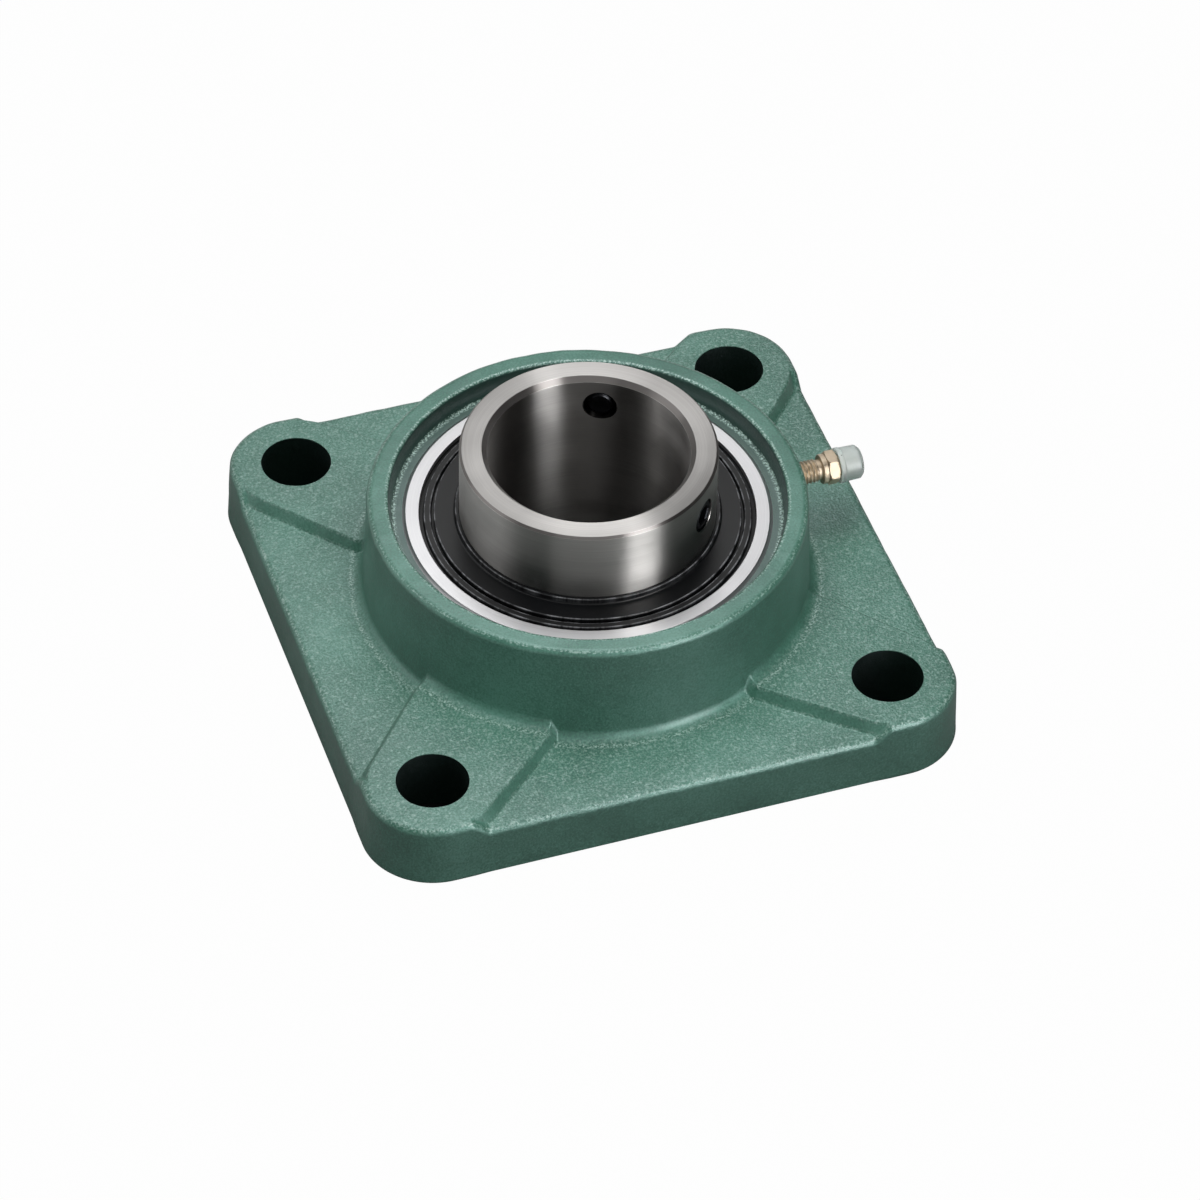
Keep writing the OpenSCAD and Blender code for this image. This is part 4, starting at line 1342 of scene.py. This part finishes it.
@dataclass
class GreaseNipple(SubAssembly):
    """The nipple with its thread, collar, hexagon and head, and its cap, in mm along +X."""

    z: float = NIPPLE_Z
    root_x: float = 45.2
    collar_x: float = 55.1
    hex_x: float = 56.3
    neck_x: float = 58.9
    end_x: float = 63.6
    major: float = 2.69
    minor: float = 2.3
    pitch: float = 0.85
    collar_r: float = 3.4
    hex_af: float = 7.0
    hex_corner_r: float = 3.98
    hex_cone: float = 1.6
    hex_drop: float = 0.12
    edge_r: float = 0.25
    thread_gap: float = 0.35
    collar_inset: float = 0.35
    thread_rows: int = 84
    point_drop: float = 0.2
    runout: float = 0.9
    neck_z: tuple[float, float, float, float] = (0.45, 1.1, 2.0, 2.5)
    seat_depth: float = 0.8
    chamber_wall: float = 1.6
    neck_r: float = 2.35
    head_r: float = 3.25
    head_end_r: float = 1.95
    channel_r: float = 0.8
    chamber_r: float = 1.45
    cap_gap: float = 0.2
    cap_clearance: float = 0.08
    cap_wall: float = 0.77
    cap_t: float = 1.0
    points_round: int = 96
    brass: Finish = TurnedBrass("Nickel-flashed turned brass", 0.48)
    plastic: Finish = MouldedPolythene("Natural moulded polythene", 0.32)

    def laid(self, name: str, outlines: Sequence[tuple[float | Array, float]],
             **settings: Any) -> bpy.types.Object:
        """Makes a piece of outlines along the nipple's axis, each a radius or radii and an x."""
        grid = stacked(outlines, full_turn(self.points_round))
        return mesh_piece(name, along(grid, (0.0, 0.0, self.z), (1.0, 0.0, 0.0)), **settings)

    def nipple(self) -> bpy.types.Object:
        """The nipple as one closed grid: outside from root to tip, then back down the channel.

        The shank's radius is the thread's, the hexagon's is the smaller of the hexagon and a cone at
        each of its ends, and everything else is turned.
        """
        t, half_af = full_turn(self.points_round), self.hex_af / 2
        x = np.linspace(self.root_x, self.collar_x - self.thread_gap, self.thread_rows)[:, None]
        shank = np.minimum(thread_radius(t[None], x, self.major, self.minor, self.pitch),
                           self.minor - self.point_drop + (x - self.root_x))
        shank = np.minimum(shank, self.minor + np.maximum(0, (self.collar_x - self.runout - x) * 2))
        edge = self.edge_r
        collar = rounded([(self.minor, self.collar_x, 0), (self.collar_r, self.collar_x, edge),
                          (self.collar_r, self.hex_x, edge), (half_af - self.collar_inset, self.hex_x, 0)],
                         closed=False, steps=4)
        steps = np.array([0.15, 0.35, 0.6, 0.9])
        hex_x = np.concatenate([[self.hex_x + 0.02], self.hex_x + steps, self.neck_x - steps[::-1],
                                [self.neck_x]])[:, None]
        cone = half_af - self.hex_drop + self.hex_cone * np.minimum(hex_x - self.hex_x, self.neck_x - hex_x)
        hexagon = np.minimum(hexagon_radius(t, self.hex_af, self.hex_corner_r)[None], cone)
        neck, end, chamber = self.neck_x, self.end_x, self.root_x + self.chamber_wall
        low, high, head_low, head_high = (neck + z for z in self.neck_z)
        head = rounded([(half_af - 0.5, neck, 0), (self.neck_r + 0.4, neck, 0.1),
                        (self.neck_r, low, 0.3), (self.neck_r, high, 0.2), (self.head_r, head_low, edge),
                        (self.head_r, head_high, 0.2), (self.head_end_r, end, edge),
                        (self.channel_r, end, 0.15), (self.channel_r, end - self.seat_depth, 0),
                        (self.chamber_r, end - self.chamber_wall, 0),
                        (self.chamber_r, chamber, 0), (self.channel_r, chamber, 0),
                        (self.channel_r, self.root_x, 0)], closed=False)
        outlines = [*zip(shank, x[:, 0]), *collar, *zip(hexagon, hex_x[:, 0]), *head]
        return self.laid("grease_nipple_threaded", outlines, sharp_deg=32.0)

    def cap(self) -> bpy.types.Object:
        """The cap: a thin cup with a rounded end and a small lip, from its hollow's pole to its outer one."""
        hollow, start = self.head_r + self.cap_clearance, self.neck_x + self.cap_gap
        inner_end, outer = self.end_x + self.cap_clearance, hollow + self.cap_wall
        end = inner_end + self.cap_t
        profile = rounded([(0, inner_end, 0), (hollow, inner_end, 0.5), (hollow, start, 0.15),
                           (outer, start, 0.25), (outer, start + 0.9, 0.2), (outer - 0.18, start + 1.2, 0.2),
                           (outer - 0.22, end - 0.8, 0.5), (outer - 1.0, end, 0.5), (0, end, 0)],
                          closed=False, steps=6)
        return self.laid("nipple_cap_moulded", profile, ring_rows=False)

    def build(self) -> None:
        """Makes and dresses the nipple and its cap."""
        self.place(self.nipple(), Body.HOUSING, Slot.BRASS, self.brass, "grease_nipple")
        self.place(self.cap(), Body.CAP, Slot.PLASTIC, self.plastic, "nipple_cap")


@dataclass
class InsideParts(SubAssembly):
    """What is out of sight. The spring is new, and balls, cage and rivets keep their CAD shape."""

    balls: int = 9
    wire_r: float = 0.18
    turns: int = 8
    points_a_turn: int = 24
    lift: float = 0.8
    polished: Finish = TurnedSteel("Polished ball steel", 0.12, colour="#d6d7d9", dark="#c9cacd", slope=0.02,
                                   stretch=0.0)
    pressed: Finish = TurnedSteel("Pressed cage sheet", 0.4, colour="#a9a8a5", dark="#85847f", line_mm=0.6,
                                  slope=0.1, stretch=0.2)
    drawn: Finish = TurnedSteel("Drawn spring wire", 0.3, colour="#b4b6ba", dark="#8f9195", line_mm=0.3,
                                slope=0.1, stretch=0.0)

    def spring(self) -> bpy.types.Object:
        """The valve's spring: a round wire carried along a helix that fills the node's box.

        A point of the helix is (x, r cos t, r sin t) with x in step with t, and a ring of the wire lies in
        the plane of the outward direction (0, cos t, sin t) and its cross product with the helix's tangent.
        """
        low, high = (np.array(corner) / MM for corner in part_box("nipple_spring"))
        coil_r, middle = (high[1] - low[1]) / 2 - self.wire_r, (low + high) / 2
        t = np.linspace(0, 2 * np.pi * self.turns, self.points_a_turn * self.turns + 1)
        out = np.stack([np.zeros_like(t), np.cos(t), np.sin(t)], -1)
        path = coil_r * out + (0, middle[1], middle[2])
        path[:, 0] = np.linspace(low[0] + self.wire_r, high[0] - self.wire_r, len(t))
        tangent = np.gradient(path, axis=0)
        side = np.cross(tangent / np.linalg.norm(tangent, axis=1, keepdims=True), out)
        a = full_turn(16)[:, None]
        wire = path[:, None] + self.wire_r * (np.cos(a) * out[:, None] + np.sin(a) * side[:, None])
        ends = np.broadcast_to(path[[0, -1], None], (2, len(a), 3))
        return mesh_piece("nipple_spring_coiled", np.concatenate([ends[:1], wire, ends[1:]]), ring_rows=False)

    def build(self) -> None:
        balls = [f"ball_{i}" for i in range(1, self.balls + 1)] + ["nipple_check_ball"]
        cage = ["cage_front", "cage_rear", "cage_rivets"]
        for finish, names in ((self.polished, balls), (self.pressed, cage)):
            nodes = [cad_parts[name] for name in names]
            finish.dress(*nodes)
            self.pieces += nodes
        spring = self.spring()
        self.place(spring, Body.HOUSING, Slot.SPRING_STEEL, self.drawn, "nipple_spring")
        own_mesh(spring)


# Studio


def aim(thing: bpy.types.Object, right: Array, up: Array, back: Array, place: Array) -> None:
    """Sets an object's own axes, and its place in metres."""
    pose = np.eye(4)
    pose[:3] = np.stack([right, up, back, place], 1)
    thing.matrix_world = Matrix(pose.tolist())


@dataclass(frozen=True)
class Softbox:
    """A soft square lamp that no reflection sees: where it hangs from the part, its side and its power."""

    name: str
    azimuth: float
    elevation: float
    distance: float
    side: float
    watts: float

    def hang(self, target: Array) -> None:
        """Puts the lamp up, facing the target."""
        back = sky(self.azimuth, self.elevation)
        right = np.array([*heading(math.radians(self.azimuth)), 0.0])
        lamp = bpy.data.lights.new(self.name, "AREA")
        lamp.shape, lamp.size, lamp.energy = "SQUARE", self.side, self.watts
        holder = put_down(self.name, lamp)
        holder.visible_glossy = False
        aim(holder, right, np.cross(back, right), back, target + back * self.distance)


@dataclass(frozen=True)
class StudioFloor(Finish):
    """Matt white paper sweep: the eye and every reflection see it at full white, and it keeps a soft shadow.

    Under the part, where no light gets in, the paper is given a dark colour as painted shadow, as the bore
    and the bolt holes show it.
    """

    half_mm: float = HALF_PITCH
    covered_mm: float = 13.0
    clear_mm: Pair = (23.0, 183.0)
    seen_share: float = 0.985
    dark: str = "#0b0c0c"
    papers: tuple[str, str] = ("#868686", "#909090")

    def paint(self, recipe: Recipe) -> None:
        """Adds white light for camera, gloss and glass rays to the lit paper, but not under the part."""
        add = recipe.add
        fibre = add("TexNoise", recipe.place, Scale=400.0, Detail=3.0)
        past = recipe.past_square(self.half_mm)
        open_air = add("MapRange", past, self.covered_mm * MM, (self.covered_mm + 1) * MM)
        clear = add("MapRange", past, *(distance * MM for distance in self.clear_mm))
        paper = add("Mix", fibre, *self.papers, data_type="RGBA")
        # Painted shadow: dark paper under the part
        tone = add("Mix", open_air, self.dark, paper, data_type="RGBA")
        recipe.feed(recipe.shader, {"Base Color": tone, "Specular IOR Level": 0.0})
        eye, gloss, glass = recipe.rays
        mirrored = add("Math", gloss, glass, operation="MAXIMUM")
        mirrored = add("Math", mirrored, clear, operation="MULTIPLY")
        seen = add("Math", eye, self.seen_share, operation="MULTIPLY")
        seen = add("Math", seen, mirrored, operation="MAXIMUM")
        share = add("Math", seen, open_air, operation="MULTIPLY")
        glow = add("MixShader", share, recipe.shader.outputs[0], add("Emission", "#ffffff", 1.0))
        recipe.feed(recipe.tree.nodes["Material Output"], {"Surface": glow})


@dataclass(frozen=True)
class BlackFelt(Finish):
    """Black wool felt: nearly no light comes back, so that steel shows a dark band in it."""

    fibres: tuple[str, str] = ("#050505", "#101010")

    def paint(self, recipe: Recipe) -> None:
        """Fibres in two near blacks."""
        fibre = recipe.add("TexNoise", recipe.place, Scale=900.0, Detail=3.0)
        tone = recipe.add("Mix", fibre, *self.fibres, data_type="RGBA")
        recipe.feed(recipe.shader, {"Base Color": tone, "Specular IOR Level": 0.0})


@dataclass(frozen=True)
class LitSilk(Finish):
    """White silk with a lamp behind it: an even glow that steel and enamel mirror."""

    strength: float = 1.0
    weaves: tuple[str, str] = ("#f8f8f8", "#ffffff")

    def paint(self, recipe: Recipe) -> None:
        """A glow with a faint weave."""
        weave = recipe.add("TexNoise", recipe.place, Scale=300.0)
        glow = recipe.add("Emission", recipe.add("Mix", weave, *self.weaves, data_type="RGBA"), self.strength)
        recipe.feed(recipe.tree.nodes["Material Output"], {"Surface": glow})


@dataclass(frozen=True)
class Card:
    """A curved card that only reflections see: a patch of a sphere about the part, in degrees and metres."""

    name: str
    finish: Finish
    azimuths: tuple[float, float]
    elevations: tuple[float, float]
    radius: float = 0.6
    across: int = 33
    up: int = 9

    def stand(self) -> None:
        """Puts the card up, with the points of its patch evenly spaced in azimuth and elevation."""
        azimuths = np.linspace(*self.azimuths, self.across)
        points = sky(*np.meshgrid(azimuths, np.linspace(*self.elevations, self.up)))
        i = (np.arange(self.up - 1)[:, None] * self.across + np.arange(self.across - 1)).ravel()
        faces = np.stack([i, i + 1, i + self.across + 1, i + self.across], -1)
        card = put_down(self.name, surface(self.name, self.radius * points.reshape(-1, 3), faces.tolist()))
        self.finish.dress(card)
        for rays in ("camera", "diffuse", "shadow", "transmission"):
            setattr(card, f"visible_{rays}", False)


@dataclass
class Studio:
    """Camera, lamps, floor and background."""

    azimuth: float = -19.484
    elevation: float = 44.806
    roll: float = 1.389
    distance_mm: float = 1256.965
    shift_mm: Pair = (-3.311, -3.575)
    focal_px: float = 5549.569
    image_px: int = 1200
    target: Triple = (0.0, 0.0, 0.02)
    floor_side: float = 4.0
    floor_z: float = -0.0002
    gloss_share: float = 0.44
    dim_light: float = 0.035
    lamps: tuple[Softbox, ...] = (
        Softbox("Overhead softbox", -22.0, 82.0, 0.6, 0.45, 3.2),
        Softbox("Key lamp", 18.0, 14.0, 0.95, 0.45, 1.25),
        Softbox("Left lamp", -116.0, 8.0, 0.95, 0.45, 0.66),
    )
    cards: tuple[Card, ...] = (
        Card("Top card", LitSilk("Lit silk, top", 0.9, 3.6), (80.0, 260.0), (70.0, 89.0), 0.7),
        Card("Edge card", LitSilk("Lit silk, edge", 0.9, 6.0), (138.0, 183.0), (62.0, 80.0), 0.5),
        Card("Sheen card", LitSilk("Lit silk, sheen", 0.9, 2.5), (115.0, 205.0), (46.0, 69.0), 0.4),
        Card("Key card", LitSilk("Lit silk, key", 0.9, 10.0), (13.0, 37.0), (3.0, 52.0)),
        Card("Left card", LitSilk("Lit silk, left", 0.9, 1.6), (-126.0, -86.0), (8.0, 50.0)),
        Card("Right flag", BlackFelt("Black felt", 0.9), (39.0, 132.0), (0.0, 69.0), 0.22),
        Card("Left flag", BlackFelt("Black felt", 0.9), (-76.0, -46.0), (0.0, 75.0), 0.4),
    )

    def camera(self) -> None:
        """Sets the camera up where the photograph was taken from.

        Its back axis points from the part at the given azimuth and elevation, its other two axes are
        turned by the roll, and the part's middle is moved by the shift in the picture plane.
        """
        roll = math.radians(self.roll)
        back = sky(self.azimuth, self.elevation)
        level = np.array([*heading(math.radians(self.azimuth)), 0.0])
        steep = np.cross(back, level)
        right = level * math.cos(roll) + steep * math.sin(roll)
        up = -level * math.sin(roll) + steep * math.cos(roll)
        centre = back * self.distance_mm - right * self.shift_mm[0] - up * self.shift_mm[1]
        data = bpy.data.cameras.new("Camera")
        data.sensor_fit, data.sensor_width = "HORIZONTAL", 36.0
        data.lens = self.focal_px / self.image_px * data.sensor_width
        data.clip_start, data.clip_end = 0.05, 20.0
        holder = put_down("Camera", data)
        aim(holder, right, up, back, centre * MM)
        bpy.context.scene.camera = holder

    def floor(self) -> None:
        """Lays the floor just under the mounting face."""
        corners = self.floor_side * np.array([(-1, -1, 0), (1, -1, 0), (1, 1, 0), (-1, 1, 0)])
        sheet = put_down("Floor", surface("Floor", corners + (0, 0, self.floor_z), [[0, 1, 2, 3]]))
        StudioFloor("White paper sweep", 0.9).dress(sheet)

    def background(self) -> None:
        """White for camera, gloss and glass rays, and a dim plain light for the rest."""
        world = bpy.data.worlds.new("Studio")
        world.use_nodes = True
        recipe = Recipe(world.node_tree)
        eye, gloss, glass = recipe.rays
        gloss = recipe.add("Math", gloss, self.gloss_share, operation="MULTIPLY")
        seen = recipe.add("Math", eye, gloss, operation="MAXIMUM")
        seen = recipe.add("Math", seen, glass, operation="MAXIMUM")
        strength = recipe.add("MapRange", seen, 0.0, 1.0, self.dim_light, 1.0)
        recipe.feed(world.node_tree.nodes["Background"], {"Color": "#ffffff", "Strength": strength})
        bpy.context.scene.world = world

    def build(self) -> None:
        """Sets up the whole studio."""
        self.camera()
        self.floor()
        self.background()
        for lamp in self.lamps:
            lamp.hang(np.array(self.target))
        for card in self.cards:
            card.stand()
        bpy.context.scene.view_settings.view_transform = "Standard"


def main() -> None:
    """Builds every sub-assembly, logging its pieces' face counts, and then the studio."""
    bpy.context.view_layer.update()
    for assembly in (Housing(), Insert(), SetScrews(), GreaseNipple(), InsideParts()):
        assembly.build()
        assembly.report()
    Studio().build()
    bpy.context.view_layer.update()


if __name__ == "__main__":
    main()
